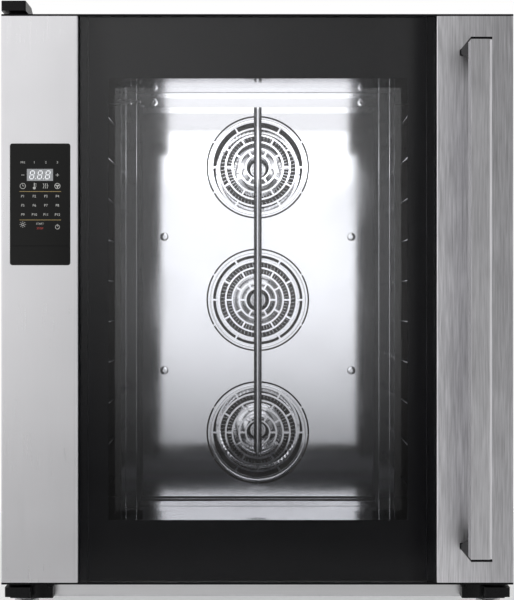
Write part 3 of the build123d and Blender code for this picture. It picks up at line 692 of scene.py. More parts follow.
def sheet_finish(name, tone, grain, depth, rough, wave=0.0, wave_scale=4.0, contrast=0.05):
    """Metal sheet or extrusion: grain in colour, gloss and relief, waves and marks."""
    material, tree, shader, _ = new_material(name)
    shader.inputs["Metallic"].default_value = 1.0
    surface = use_group(
        tree, "Sheet metal", Grain_Scale=grain, Grain_Depth=depth, Wave_Depth=wave,
        Wave_Scale=wave_scale)
    light = tuple(min(channel * (1 + contrast), 1.0) for channel in tone)
    base = tinted(tree, surface.outputs["Grain"], darker(tone, 1 - contrast), light)
    link(tree, base, shader.inputs["Base Color"])
    gloss = ramp(tree, surface.outputs["Grain"], 0.3, 0.7, rough * 0.9, rough * 1.1)
    worn = math_node(tree, "MULTIPLY_ADD", surface.outputs["Marks"], 0.04, gloss)
    link(tree, worn, shader.inputs["Roughness"])
    link(tree, surface.outputs["Normal"], shader.inputs["Normal"])
    return material


def heat_tinted(material):
    """Paints shade on the steel at the back of the chamber, behind the wheels close to the heaters:
    darker and duller from Y 284 to 296 mm.
    """
    tree, shader = material.node_tree, shader_of(material)
    # heat is the share of the painted shade: nothing before Y 284 mm, full from Y 296 mm.
    heat = ramp(tree, object_place(tree)["Y"], *mm(284, 296), 0.0, 1.0)
    shaded_colour = tree.nodes.new("ShaderNodeMix")
    shaded_colour.data_type = "RGBA"
    link(tree, heat, shaded_colour.inputs[0])
    link(tree, shader.inputs["Base Color"].links[0].from_socket, shaded_colour.inputs[6])
    # Near-black brown of the painted shade.
    shaded_colour.inputs[7].default_value = (0.06, 0.052, 0.05, 1)
    link(tree, shaded_colour.outputs[2], shader.inputs["Base Color"])
    polish = shader.inputs["Roughness"].links[0].from_socket
    link(tree, mix_values(tree, heat, polish, 0.5), shader.inputs["Roughness"])
    return material


def shaded_along(material, axis, low, high, start, end):
    """Paints light and shade into a finish: lightens or darkens its colour evenly from one place
    along an axis to another, standing in for reflections.
    """
    tree, shader = material.node_tree, shader_of(material)
    gain = tree.nodes.new("ShaderNodeVectorMath")
    gain.operation = "SCALE"
    link(tree, shader.inputs["Base Color"].links[0].from_socket, gain.inputs[0])
    shade = ramp(tree, object_place(tree)[axis], mm(low), mm(high), start, end)
    link(tree, shade, gain.inputs["Scale"])
    link(tree, gain.outputs[0], shader.inputs["Base Color"])
    return material


def skin_finish(name, tone, rough, scale=900.0, depth=0.00003, metal=0.0, shine=0.5):
    """Moulded plastic, rubber, paint or casting with its fine skin."""
    material, tree, shader, _ = new_material(name)
    shader.inputs["Metallic"].default_value = metal
    shader.inputs["Specular IOR Level"].default_value = shine
    surface = use_group(tree, "Fine skin", Scale=scale, Depth=depth)
    base = tinted(tree, surface.outputs["Patches"], darker(tone, 0.85), darker(tone, 1.15))
    link(tree, base, shader.inputs["Base Color"])
    gloss = ramp(tree, surface.outputs["Speckle"], 0.3, 0.7, rough * 0.88, rough * 1.12)
    link(tree, gloss, shader.inputs["Roughness"])
    link(tree, surface.outputs["Normal"], shader.inputs["Normal"])
    return material


def wheel_finish(name, tone, rough):
    """Turned steel of the fan wheels."""
    material, tree, shader, _ = new_material(name)
    shader.inputs["Metallic"].default_value = 1.0
    surface = use_group(tree, "Turned rings")
    base = tinted(tree, surface.outputs["Rings"], darker(tone, 0.9), tone)
    link(tree, base, shader.inputs["Base Color"])
    gloss = ramp(tree, surface.outputs["Rings"], 0.3, 0.7, rough * 0.85, rough * 1.15)
    link(tree, gloss, shader.inputs["Roughness"])
    link(tree, surface.outputs["Normal"], shader.inputs["Normal"])
    shader.inputs["Anisotropic"].default_value = 0.5
    link(tree, surface.outputs["Sweep"], shader.inputs["Tangent"])
    return material


def glass_finish(name, tone):
    """Clear toughened glass that lets lamp light through to what is behind it."""
    material, tree, shader, output = new_material(name)
    shader.inputs["Transmission Weight"].default_value = 1.0
    shader.inputs["IOR"].default_value = 1.3
    shader.inputs["Roughness"].default_value = 0.0
    surface = use_group(tree, "Fine skin", Scale=6.0, Depth=0.0)
    smears = ramp(tree, surface.outputs["Patches"], 0.4, 0.8, 0.0, 1.0)
    base = tinted(tree, smears, tone, darker(tone, 0.985))
    link(tree, base, shader.inputs["Base Color"])
    clear = tree.nodes.new("ShaderNodeBsdfTransparent")
    link(tree, base, clear.inputs["Color"])
    light_path = tree.nodes.new("ShaderNodeLightPath")
    mixer = tree.nodes.new("ShaderNodeMixShader")
    link(tree, light_path.outputs["Is Shadow Ray"], mixer.inputs[0])
    link(tree, shader.outputs[0], mixer.inputs[1])
    link(tree, clear.outputs[0], mixer.inputs[2])
    link(tree, mixer.outputs[0], output.inputs[0])
    return material


def gloss_finish(name, tone, rough, shine=0.5):
    """Hard glossy black: the printed border of the glass and the touch panel."""
    material, tree, shader, _ = new_material(name)
    shader.inputs["Specular IOR Level"].default_value = shine
    surface = use_group(tree, "Fine skin", Scale=40.0, Depth=0.0)
    base = tinted(tree, surface.outputs["Patches"], darker(tone, 0.9), darker(tone, 1.1))
    link(tree, base, shader.inputs["Base Color"])
    gloss = ramp(tree, surface.outputs["Patches"], 0.3, 0.8, rough * 0.95, rough * 1.05)
    link(tree, gloss, shader.inputs["Roughness"])
    return material


def sign_finish(name, tone, glow=0.0):
    """Printed or lit sign of the control panel."""
    material = skin_finish(name, tone, 0.45, scale=2500.0, depth=0.000002)
    shader = shader_of(material)
    if glow:
        shader.inputs["Emission Color"].default_value = (*tone, 1)
        shader.inputs["Emission Strength"].default_value = glow
    return material


UPRIGHT = (520.0, 520.0, 9.0)
LEVEL_GRAIN = (9.0, 520.0, 520.0)
BRUSHED = (420.0, 420.0, 16.0)


def make_finish(name):
    """Builds the material of one slot or sign."""
    tones = bpy.context.scene.oven_finish
    aluminium = tuple(tones.aluminium)
    casing, polished = tuple(tones.casing), tuple(tones.polished)
    cavity = tuple(tones.cavity)
    black, casting = tuple(tones.black), tuple(tones.casting)
    makers = {
        "casing_steel": lambda: sheet_finish(name, casing, UPRIGHT, 0.00003, 0.34, 0.0002),
        # A lighter copy of the casing steel: painted light, making up for the shade under the door,
        # where the frame shows as the base strip.
        "frame_steel": lambda: sheet_finish(
            name, darker(casing, 1.3), LEVEL_GRAIN, 0.00002, 0.32),
        "galvanised_steel": lambda: skin_finish(
            name, tuple(tones.galvanised), 0.48, scale=130.0, depth=0.00004, metal=1.0),
        # Chamber steel, with painted shade at its back behind the wheels.
        "cavity_steel": lambda: heat_tinted(sheet_finish(
            name, cavity, LEVEL_GRAIN, 0.000002, 0.085, 0.0001, 3.0, 0.03)),
        "baffle_steel": lambda: sheet_finish(
            name, polished, UPRIGHT, 0.000002, 0.085, 0.0001, 3.0, 0.03),
        # Flat near-black finish that paints shade on the baffle's side returns and along its foot.
        "painted_shade_dark": lambda: skin_finish(name, (0.05, 0.05, 0.053), 0.5, scale=500.0, shine=0.0),
        "rack_steel": lambda: sheet_finish(name, cavity, LEVEL_GRAIN, 0.00001, 0.2),
        # Dark inner frame with painted light at the bottom: times 5.2 up to Z 120 mm, falling to
        # its own tone at Z 145 mm.
        "inner_frame": lambda: shaded_along(skin_finish(
            name, (0.16, 0.16, 0.165), 0.45, scale=500.0), "Z", 120, 145, 5.2, 1.0),
        "bolt_steel": lambda: sheet_finish(
            name, darker(polished, 0.9), (900.0,) * 3, 0.00001, 0.22),
        "pipe_steel": lambda: sheet_finish(name, polished, UPRIGHT, 0.000006, 0.12),
        "wheel_steel": lambda: wheel_finish(name, polished, 0.1),
        "heater_sheath": lambda: skin_finish(
            name, tuple(tones.sheath), 0.5, scale=600.0, metal=0.8),
        "mineral_wool": lambda: skin_finish(
            name, tuple(tones.wool), 0.95, scale=260.0, depth=0.0012),
        "motor_paint": lambda: skin_finish(name, (0.05, 0.05, 0.055), 0.42, scale=500.0),
        "valve_plastic": lambda: skin_finish(name, (0.66, 0.66, 0.63), 0.42),
        "relay_grey": lambda: skin_finish(name, (0.36, 0.37, 0.38), 0.45),
        "circuit_green": lambda: skin_finish(name, (0.02, 0.13, 0.06), 0.38, scale=300.0),
        "lamp_diffuser": lambda: skin_finish(name, (0.84, 0.84, 0.81), 0.4),
        "gasket_silicone": lambda: skin_finish(name, tuple(tones.silicone), 0.55, scale=500.0),
        "black_casting": lambda: skin_finish(name, casting, 0.3, 420.0, 0.00005, shine=0.12),
        "black_moulding": lambda: skin_finish(name, black, 0.42, shine=0.04),
        # Painted shade on the door's profiles: darker towards the bottom, times 0.84 at Z 60 mm up
        # to times 1.04 at Z 420 mm, standing in for reflection.
        "door_aluminium": lambda: shaded_along(sheet_finish(
            name, aluminium, UPRIGHT, 0.000003, 0.3, contrast=0.02), "Z", 60, 420, 0.84, 1.04),
        # Painted reflection on the strip beside the handle: lighter towards its left edge, times
        # 1.36 at X 270 mm down to times 0.98 at X 390 mm.
        "brushed_strip": lambda: shaded_along(sheet_finish(
            name, tuple(tones.brushed), BRUSHED, 0.000005, 0.34, contrast=0.5),
            "X", 270, 390, 1.36, 0.98),
        "handle_metal": lambda: sheet_finish(
            name, tuple(tones.handle), BRUSHED, 0.000005, 0.34, contrast=0.4),
        "printed_glass": lambda: glass_finish(name, (0.976, 0.98, 0.99)),
        "clear_glass": lambda: glass_finish(name, (0.976, 0.98, 0.99)),
        "panel_glass": lambda: gloss_finish(name, tuple(tones.panel), 0.12, 0.15),
        "foot_steel": lambda: sheet_finish(name, darker(casing, 0.85), (300.0,) * 3, 0.00002, 0.3),
        "glass_print": lambda: gloss_finish(name, tuple(tones.print_black), 0.5, 0.0),
        "pale_sign": lambda: sign_finish(name, tuple(tones.pale)),
        "gold_sign": lambda: sign_finish(name, tuple(tones.gold)),
        "red_sign": lambda: sign_finish(name, tuple(tones.red)),
        "lit_sign": lambda: sign_finish(name, (0.85, 0.87, 0.9), 0.5),
        "display_plate": lambda: sign_finish(name, (0.42, 0.43, 0.45)),
    }
    return makers[name]()


def finish_of(name):
    """The material of a slot or sign, built on first use."""
    material = bpy.data.materials.get(f"oven_{name}")
    if material is None:
        material = make_finish(name)
        material.name = f"oven_{name}"
    return material


# Operators


class OvenOperator:
    """What every step of the oven shares."""
    bl_options = {"REGISTER", "UNDO"}


class OVEN_OT_dress_frame(OvenOperator, bpy.types.Operator):
    """Gives every part of the CAD frame the finish of its slot"""
    bl_idname = "oven.dress_frame"
    bl_label = "Finishes"

    def execute(self, context):
        for node, obj in frame["nodes"].items():
            finish = finish_of(slot_of_node(node))
            if not obj.material_slots:
                obj.data.materials.append(finish)
            for slot in obj.material_slots:
                slot.material = finish
        # The door's inner frame takes the inner frame finish, with its painted light at the bottom.
        for slot in frame["nodes"]["door_inner_frame"].material_slots:
            slot.material = finish_of("inner_frame")
        return {"FINISHED"}


def sheet_frame(inner, outer, front, back):
    """A flat frame facing the front, from its inner and outer (left, low, right, high)."""
    left, low, right, high = inner
    outer_left, outer_low, outer_right, outer_high = outer
    start_fresh()
    bpy.ops.mesh.primitive_plane_add(size=1)
    obj = bpy.context.object
    put(obj, (0, 0, 0), (90, 0, 0))
    obj.scale = (right - left, 1, high - low)
    put(obj, ((left + right) / 2, front, (low + high) / 2))
    edit_all(obj)
    bpy.ops.mesh.delete(type="ONLY_FACE")
    bpy.ops.mesh.select_mode(type="EDGE")
    bpy.ops.mesh.select_all(action="SELECT")
    bpy.ops.mesh.extrude_edges_move()
    middle = Vector(((left + right) / 2, front, (low + high) / 2))
    wide = (outer_right - outer_left) / (right - left)
    tall = (outer_high - outer_low) / (high - low)
    bpy.ops.transform.resize(value=(wide, 1, tall), center_override=middle)
    new_middle = Vector(((outer_left + outer_right) / 2, front, (outer_low + outer_high) / 2))
    bpy.ops.transform.translate(value=new_middle - middle)
    bpy.ops.mesh.select_all(action="SELECT")
    bpy.ops.mesh.select_mode(type="FACE")
    bpy.ops.mesh.extrude_region_move(TRANSFORM_OT_translate={"value": (0, back - front, 0)})
    close_edit()
    return obj


# The lips of the door's profiles behind the glass, in millimetres from the middle
LIP_INSIDE = 265
LIP_OUTSIDE = 281


class OVEN_OT_glass_print(OvenOperator, bpy.types.Operator):
    """Black border printed on the back of the outer glass"""
    bl_idname = "oven.glass_print"
    bl_label = "Glass print"

    def execute(self, context):
        door = context.scene.oven_door
        lip, margin = mm(LIP_INSIDE - 0.2), mm(0.3)
        window = (door.window_left, door.window_low, door.window_right, door.window_high)
        edge = (-lip, DOOR_LOW.z + margin, lip, DOOR_HIGH.z - margin)
        back = DOOR_HIGH.y
        border = sheet_frame(window, edge, back + mm(0.05), back + mm(0.05) + door.print_depth)
        finished(border, "glass_print", "door", "panel_glass", "glass_print")
        # The print's back faces under the window take the inner frame finish, with its painted
        # light at the bottom.
        second_finish(border, "inner_frame", lambda middle, way:
                      way.y > 0.7 and middle.z < door.window_low)
        return {"FINISHED"}


def sign(text, size, x, z):
    """Raised lettering on the touch panel."""
    start_fresh()
    settings = bpy.context.scene.oven_panel
    bpy.ops.object.text_add()
    obj = bpy.context.object
    obj.data.body = text
    obj.data.size = size
    obj.data.align_x = "CENTER"
    obj.data.align_y = "CENTER"
    obj.data.extrude = settings.relief / 2
    obj.data.resolution_u = 3
    bpy.ops.object.convert(target="MESH")
    return facing_front(bpy.context.object, (x, PANEL_LOW.y - settings.relief / 2, z))


def plate_on_panel(left, low, right, high):
    """A thin printed bar on the touch panel."""
    relief = bpy.context.scene.oven_panel.relief
    return block((left, PANEL_LOW.y - relief, low), (right, PANEL_LOW.y, high))


def sign_ring(x, z, radius, line):
    """A printed circle on the touch panel."""
    relief = bpy.context.scene.oven_panel.relief
    circle = ring([(radius, 0), (radius, relief), (radius - line, relief), (radius - line, 0)], 24)
    return facing_front(circle, (x, PANEL_LOW.y, z))


def bar_sign(x, z, long, line, turn):
    """A printed stroke of a sign, turned about its middle."""
    relief = bpy.context.scene.oven_panel.relief
    stroke = block((-long / 2, -relief, -line / 2), (long / 2, 0, line / 2))
    return put(stroke, (x, PANEL_LOW.y, z), (0, turn, 0))


# Bars of a display figure: the side and level of each, and whether it lies flat
SEGMENTS = (
    (0, 2, True), (0, 0, True), (0, -2, True),
    (-1, 1, False), (1, 1, False), (-1, -1, False), (1, -1, False),
)


def digit_eight(x, z, half_width, half_height, line, lean):
    """All seven bars of one figure of the display."""
    bars = []
    for side, level, flat in SEGMENTS:
        shift = level * half_height / 2
        long = 2 * half_width if flat else half_height
        turn = 0 if flat else 90 + math.degrees(math.atan(lean))
        bars.append(bar_sign(x + side * half_width + shift * lean, z + shift,
                             long - line * 1.3, line, turn))
    return bars


# Heights of the panel's signs and lines, in millimetres
STEP_ROW = 720.3
DISPLAY_ROW = 700.8
ICON_ROW = 683.6
PROGRAM_ROWS = (667.5, 653.2, 638.8)
START_ROW, LAMP_ROW, POWER_ROW, STOP_ROW = 624.6, 623.5, 619.6, 617.4
GOLD_LINES = (675.0, 630.6)


class OVEN_OT_panel_signs(OvenOperator, bpy.types.Operator):
    """Signs, display and dividing lines of the touch panel"""
    bl_idname = "oven.panel_signs"
    bl_label = "Panel signs"

    def execute(self, context):
        settings = context.scene.oven_panel
        columns = [settings.first_column + settings.column * step for step in range(4)]
        middle = mm(-339.2)
        letter, line = settings.letter, mm(0.75)
        pale = [sign("PRE", letter * 0.82, columns[0], mm(STEP_ROW))]
        pale += [sign(str(step), letter * 0.95, columns[step], mm(STEP_ROW)) for step in (1, 2, 3)]
        pale += [bar_sign(columns[0], mm(DISPLAY_ROW), mm(5), line, 0)]
        pale += [bar_sign(columns[3], mm(DISPLAY_ROW), mm(5), line, turn) for turn in (0, 90)]
        for row, height in enumerate(PROGRAM_ROWS):
            for column, x in enumerate(columns):
                pale.append(sign(f"P{4 * row + column + 1}", letter, x, mm(height)))
        pale += self.icons(columns, mm(ICON_ROW), line)
        pale += self.lamp_icon(columns[0], mm(LAMP_ROW), line)
        pale += self.power_icon(columns[3], mm(POWER_ROW), line)
        pale.append(sign("START", letter * 0.74, middle, mm(START_ROW)))
        finished(joined(pale), "panel_signs", "door", "lamp_diffuser", "pale_sign")
        stop = sign("STOP", letter * 0.74, middle, mm(STOP_ROW))
        finished(stop, "panel_stop_sign", "door", "relay_grey", "red_sign")
        left, right = mm(-371.2, -306.4)
        bars = [plate_on_panel(left, mm(z - 0.4), right, mm(z + 0.4)) for z in GOLD_LINES]
        finished(joined(bars), "panel_gold_lines", "door", "relay_grey", "gold_sign")
        self.display(settings)
        seam = plate_on_panel(PANEL_LOW.x + mm(1.5), mm(589.8), PANEL_HIGH.x - mm(1.5), mm(590.4))
        finished(seam, "panel_seam", "door", "panel_glass", "glass_print")
        return {"FINISHED"}

    def icons(self, columns, z, line):
        """Clock, thermometer, steam and fan."""
        clock, heat, steam, fan = columns
        radius = mm(4.6)
        pieces = [sign_ring(clock, z, radius, line)]
        pieces.append(bar_sign(clock, z + mm(1.2), mm(2.6), line, 90))
        pieces.append(bar_sign(clock + mm(1.1), z, mm(2.4), line, 0))
        pieces.append(sign_ring(heat, z - mm(3), mm(2.2), mm(2.1)))
        pieces.append(bar_sign(heat, z + mm(1.4), mm(6.6), mm(1.3), 90))
        pieces += [bar_sign(heat + mm(2.4), z + mm(step), mm(1.8), line * 0.8, 0)
                   for step in (-0.5, 1.5, 3.5)]
        for offset in (-3.0, 0.0, 3.0):
            pieces.append(bar_sign(steam + mm(offset - 0.5), z + mm(2.2), mm(4.4), line, 70))
            pieces.append(bar_sign(steam + mm(offset - 0.5), z - mm(1.8), mm(4.4), line, 110))
        pieces.append(sign_ring(fan, z, radius, line))
        pieces += [bar_sign(fan + mm(1.7) * math.cos(math.radians(turn)),
                            z - mm(1.7) * math.sin(math.radians(turn)), mm(3), mm(1.6), turn)
                   for turn in (90, 210, 330)]
        return pieces

    def lamp_icon(self, x, z, line):
        """Cavity lamp with its rays."""
        pieces = [sign_ring(x, z, mm(2.3), line)]
        for turn in range(0, 360, 45):
            way = math.radians(turn)
            pieces.append(bar_sign(x + mm(4.1) * math.cos(way), z - mm(4.1) * math.sin(way),
                                   mm(1.7), line * 0.9, turn))
        return pieces

    def power_icon(self, x, z, line):
        """Mains sign: a ring and a stroke."""
        return [sign_ring(x, z, mm(3.6), line), bar_sign(x, z + mm(2.6), mm(4), line, 90)]

    def display(self, settings):
        """Lit display with three figures and their points."""
        plate = plate_on_panel(*mm(-359.6, 691.6, -318.9, 710.2))
        finished(plate, "panel_display", "door", "relay_grey", "display_plate")
        figures = []
        for step in range(3):
            x = mm(-351.5 + 12.2 * step)
            figures += digit_eight(x, mm(700.9), mm(3.1), mm(6.2), mm(1.25), 0.17)
            if step < 2:
                figures.append(bar_sign(x + mm(5.6), mm(694.9), mm(1.2), mm(1.2), 0))
        lit = joined(figures)
        for vertex in lit.data.vertices:
            vertex.co.y -= settings.relief
        finished(lit, "panel_figures", "door", "lamp_diffuser", "lit_sign")


WHEEL_BACK = mm(288)


class OVEN_OT_fan_wheels(OvenOperator, bpy.types.Operator):
    """Fan wheels with curved blades, their cap nuts and shafts"""
    bl_idname = "oven.fan_wheels"
    bl_label = "Fan wheels"

    def execute(self, context):
        settings = context.scene.oven_fan
        wheel = joined([self.dish(), self.rim(), self.tabs(settings), self.blades(settings)])
        nut = joined([self.cap_nut(), self.shaft()])
        for which in FAN_PLACES:
            middle = fan_axis(which)
            axis = (middle.x, WHEEL_BACK, middle.z)
            made = facing_front(copy_of(wheel), axis)
            finished(made, f"fan_wheel_{which}", f"fan_{which}", "wheel_steel")
            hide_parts(f"impeller_{which}")
            made = facing_front(copy_of(nut), axis)
            finished(made, f"fan_nut_{which}", f"fan_{which}", "bolt_steel")
            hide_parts(f"fan_shaft_{which}")
        bpy.data.objects.remove(wheel)
        bpy.data.objects.remove(nut)
        return {"FINISHED"}

    def dish(self):
        """Spun dish with its coned middle and hub."""
        steps = [(16, -4), (16, 0), (50, 0), (52.6, 0.8), (52.6, 2), (51, 2.4), (49, 3),
                 (24, 5.4), (20, 7.4), (17, 11), (16, 15), (16, 25), (15.2, 26)]
        return turned(in_mm(steps), 96)

    def rim(self):
        """Flat rim that the blades run out to."""
        steps = [(76.6, 0.2), (76.6, 1.8), (77, 2), (85.7, 2), (86.3, 1.4), (86.3, 0.6),
                 (85.7, 0), (77, 0)]
        return ring(in_mm(steps), 96)

    def tabs(self, settings):
        """Tabs by which the blades are clenched to the rim of the plate."""
        tab = block(mm(79.2, -0.35, 1.8), mm(82.2, 0.35, 2.9), mm(0.15))
        return spun(tab, settings.blades)

    def blades(self, settings):
        """One curved blade, spun round the wheel."""
        start_fresh()
        reach = settings.blade_length / 3
        start, low, high = settings.blade_start, mm(1), mm(42)
        bpy.ops.mesh.primitive_cube_add(size=1, scale=(reach, settings.blade_gauge, high - low))
        blade = bpy.context.object
        put(blade, (start + reach / 2, 0, (low + high) / 2))
        pick(blade, "FACE", lambda middle, way: way.x > 0.9)
        for step, lean in enumerate((14, 16)):
            turn = math.radians(lean)
            bpy.ops.mesh.extrude_region_move(
                TRANSFORM_OT_translate={"value": (reach, reach * math.tan(turn), 0)})
            edge = start + reach * (step + 2)
            bpy.ops.transform.rotate(value=turn, orient_axis="Z", center_override=(edge, 0, 0))
        close_edit()
        return spun(blade, settings.blades)

    def cap_nut(self):
        """Hexagon nut on its washer, with a domed cap."""
        washer = turned(in_mm([(15.0, 25.9), (15.6, 26.4), (15.6, 27.6), (15.2, 28)]), 40)
        nut = prism(6, mm(13), *mm(27.9, 37.5), mm(0.8))
        dome = turned(in_mm([
            (8.6, 37.4), (8.6, 40.5), (8.1, 42.4), (6.9, 44.2), (5.2, 45.4), (2.8, 46),
            (0.6, 46)]), 32)
        return joined([washer, nut, dome])

    def shaft(self):
        """Shaft that runs back to the motor."""
        end = WHEEL_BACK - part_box("fan_shaft_top")[1].y
        return turned([(mm(7.2), end), (mm(8), end + mm(0.8)), (mm(8), mm(17))], 24)


# Places on the baffle in millimetres
BAFFLE_FACE = 211.5
CROSS_BAR_FACE = 174.5
CAVITY_BACK = 298
FOLD_LINES = (-255, -234.4, 234.4, 255)
# X, height, face under the head and end of the shank of each bolt
BAFFLE_BOLTS = (
    (-185.5, 366, BAFFLE_FACE, CAVITY_BACK), (185.5, 366, BAFFLE_FACE, CAVITY_BACK),
    (-185.5, 631, BAFFLE_FACE, CAVITY_BACK), (185.5, 631, BAFFLE_FACE, CAVITY_BACK),
    (-202.3, 892, CROSS_BAR_FACE, BAFFLE_FACE), (202.3, 892, CROSS_BAR_FACE, BAFFLE_FACE),
)


class OVEN_OT_baffle(OvenOperator, bpy.types.Operator):
    """Baffle sheet with its fold lines, painted shade on its side returns and along its foot, and
    the beads round its grilles
    """
    bl_idname = "oven.baffle"
    bl_label = "Baffle"

    def execute(self, context):
        sheet = node_copy("fan_baffle")
        finished(sheet, "baffle_sheet", "casing", "baffle_steel")
        # The side returns of the baffle take a flat dark finish: painted shade.
        second_finish(sheet, "painted_shade_dark", lambda middle, way:
                      abs(way.x) > 0.7 and mm(232) < abs(middle.x) < mm(236))
        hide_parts("fan_baffle")
        low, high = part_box("fan_baffle")
        near, far = low.y - mm(0.3), low.y + mm(0.4)
        lines = [block((x - mm(0.5), near, low.z), (x + mm(0.5), far, high.z), mm(0.25))
                 for x in mm(*FOLD_LINES)]
        finished(joined(lines), "baffle_fold_lines", "casing", "baffle_steel")
        # A thin dark strip along the baffle's foot: a painted shadow of the gap over its step.
        seam = block(mm(-232.5, 211.2, 111.7), mm(232.5, 211.7, 116.8), mm(0.2))
        finished(seam, "baffle_foot_shadow_strip", "casing", "baffle_steel", "painted_shade_dark")
        radius = context.scene.oven_fan.bead_radius
        section = [(-1.2, -0.4), (-1.2, 0.02), (-0.6, 0.1), (0, 0.13), (0.6, 0.1), (1.2, 0.02),
                   (1.2, -0.4)]
        bead = ring([(radius + mm(side), mm(height)) for side, height in section], 96)
        for which in FAN_PLACES:
            middle = fan_axis(which)
            made = facing_front(copy_of(bead), (middle.x, mm(BAFFLE_FACE), middle.z))
            finished(made, f"grille_bead_{which}", "casing", "baffle_steel", angle=60)
        bpy.data.objects.remove(bead)
        return {"FINISHED"}


class OVEN_OT_baffle_bolts(OvenOperator, bpy.types.Operator):
    """Low socket screws of the baffle and its cross bar"""
    bl_idname = "oven.baffle_bolts"
    bl_label = "Baffle bolts"

    def execute(self, context):
        settings = context.scene.oven_hardware
        reach = settings.bolt_flange
        bolts = []
        for x, z, face, end in BAFFLE_BOLTS:
            head = turned([
                (reach, 0), (reach, mm(0.8)), (reach - mm(0.5), mm(1.5)),
                (reach - mm(1.3), mm(1.9)), (reach - mm(5), mm(2))], 36)
            cut(head, prism(6, mm(2.9), *mm(0.9, 4)))
            shank = turned([mm(4, -(end - face)), mm(4, 0.4)], 16)
            bolts.append(facing_front(joined([head, shank]), mm(x, face, z)))
        made = joined(bolts)
        finished(made, "baffle_bolt_set", "casing", "bolt_steel", "pipe_steel")
        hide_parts("baffle_bolts")
        return {"FINISHED"}


class OVEN_OT_door_edges(OvenOperator, bpy.types.Operator):
    """Softened edges of the door's profiles, caps, handle and castings"""
    bl_idname = "oven.door_edges"
    bl_label = "Softened edges"

    def execute(self, context):
        door = context.scene.oven_door
        softened("handle_bar", door.handle_edge, 3)
        for node in ("upper_handle_arm", "lower_handle_arm"):
            softened(node, door.bracket_edge)
        for node in ("top_hinge_bracket", "bottom_hinge_bracket", "door_rest_bracket"):
            softened(node, door.bracket_edge)
        for node in ("door_top_cap", "door_bottom_cap"):
            softened(node, mm(0.4))
        left = softened("control_side_profile", mm(0.35))
        right = softened("handle_side_profile", mm(0.35), finish="brushed_strip")
        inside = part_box("control_side_profile")[1].y - mm(3)
        for obj in (left, right):
            # Their inner faces take the inner frame finish, with its painted light at the bottom.
            second_finish(obj, "inner_frame", lambda middle, way: way.y > 0.7 and middle.y > inside)
            self.print_on_lip(obj)
        return {"FINISHED"}

    def print_on_lip(self, obj):
        """Sets the lip behind the glass a hair back and blackens it like the print."""
        glass = DOOR_HIGH.y

        def on_lip(middle, way):
            """Whether a corner or a face lies on the lip."""
            across = mm(LIP_INSIDE - 1) < abs(middle.x) < mm(LIP_OUTSIDE)
            return across and glass - mm(0.3) < middle.y < glass + mm(0.6)

        pick(obj, "VERT", on_lip)
        bpy.ops.transform.translate(value=mm(0, 0.06, 0))
        bpy.ops.object.mode_set(mode="OBJECT")
        second_finish(obj, "glass_print", on_lip)


# Beads of the seal: inset in millimetres, share of the bulb's radius, corner radius
SEAL_BEADS = ((2.8, 1.0, 19), (7.4, 0.6, 15), (10.6, 0.5, 13))


class OVEN_OT_gasket(OvenOperator, bpy.types.Operator):
    """Round seal of the door with two finer beads inside it"""
    bl_idname = "oven.gasket"
    bl_label = "Gasket"

    def execute(self, context):
        low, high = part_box("door_gasket")
        bulb = (high.y - low.y) / 2
        middle = (high.y + low.y) / 2
        rings = []
        for inset, share, corner in SEAL_BEADS:
            edge = mm(inset)
            loop = rounded_loop(
                low.x + edge, low.z + edge, high.x - edge, high.z - edge, mm(corner))
            rings.append(tube_along(loop, bulb * share, middle))
        made = joined(rings)
        finished(made, "gasket_lips", "casing", "gasket_silicone")
        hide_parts("door_gasket")
        return {"FINISHED"}


class OVEN_OT_feet(OvenOperator, bpy.types.Operator):
    """Levelling feet with grip ribs, hexagon neck and threaded stud"""
    bl_idname = "oven.feet"
    bl_label = "Feet"

    def execute(self, context):
        settings = context.scene.oven_hardware
        base = turned(in_mm([
            (16.5, 0), (18.6, 0.6), (19.5, 2), (19.5, 6.4), (18.9, 7), (18.9, 17), (19.5, 17.6),
            (19.5, 19.4), (18.4, 21), (12, 21.5)]), 56)
        rib = block(mm(18.6, -0.7, 7.2), mm(19.45, 0.7, 16.8), mm(0.3))
        neck = prism(6, mm(11), *mm(21.2, 27.2), mm(0.6))
        stud = turned(in_mm(thread(7.2, 8, 27, 2, 17) + [(7, 61.4)]), 24)
        foot = joined([base, spun(rib, settings.foot_ribs), neck, stud])
        for where in ("front_left", "front_right", "rear_left", "rear_right"):
            low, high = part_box(f"{where}_foot")
            made = copy_of(foot, ((low.x + high.x) / 2, (low.y + high.y) / 2, low.z))
            finished(made, f"{where}_foot_turned", f"foot_{where}", "foot_steel")
            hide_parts(f"{where}_foot")
        bpy.data.objects.remove(foot)
        return {"FINISHED"}


def domed_screw(radius, height, shank):
    """A screw on the Z axis with a low domed head and a cross recess."""
    screw = turned([
        (radius * 0.6, -shank), (radius * 0.6, 0), (radius, 0), (radius, height * 0.3),
        (radius * 0.86, height * 0.72), (radius * 0.55, height), (radius * 0.1, height)], 24)
    arm = radius * 0.55
    for wide, deep in ((arm, arm * 0.22), (arm * 0.22, arm)):
        cut(screw, block((-wide, -deep, height * 0.35), (wide, deep, height * 2)))
    return screw


# Places of the back panel's screws in millimetres
EDGE_SCREW_HEIGHTS = (60, 200, 350, 500, 650, 800, 925)
ROW_SCREWS = (-260, -90, 90, 260)


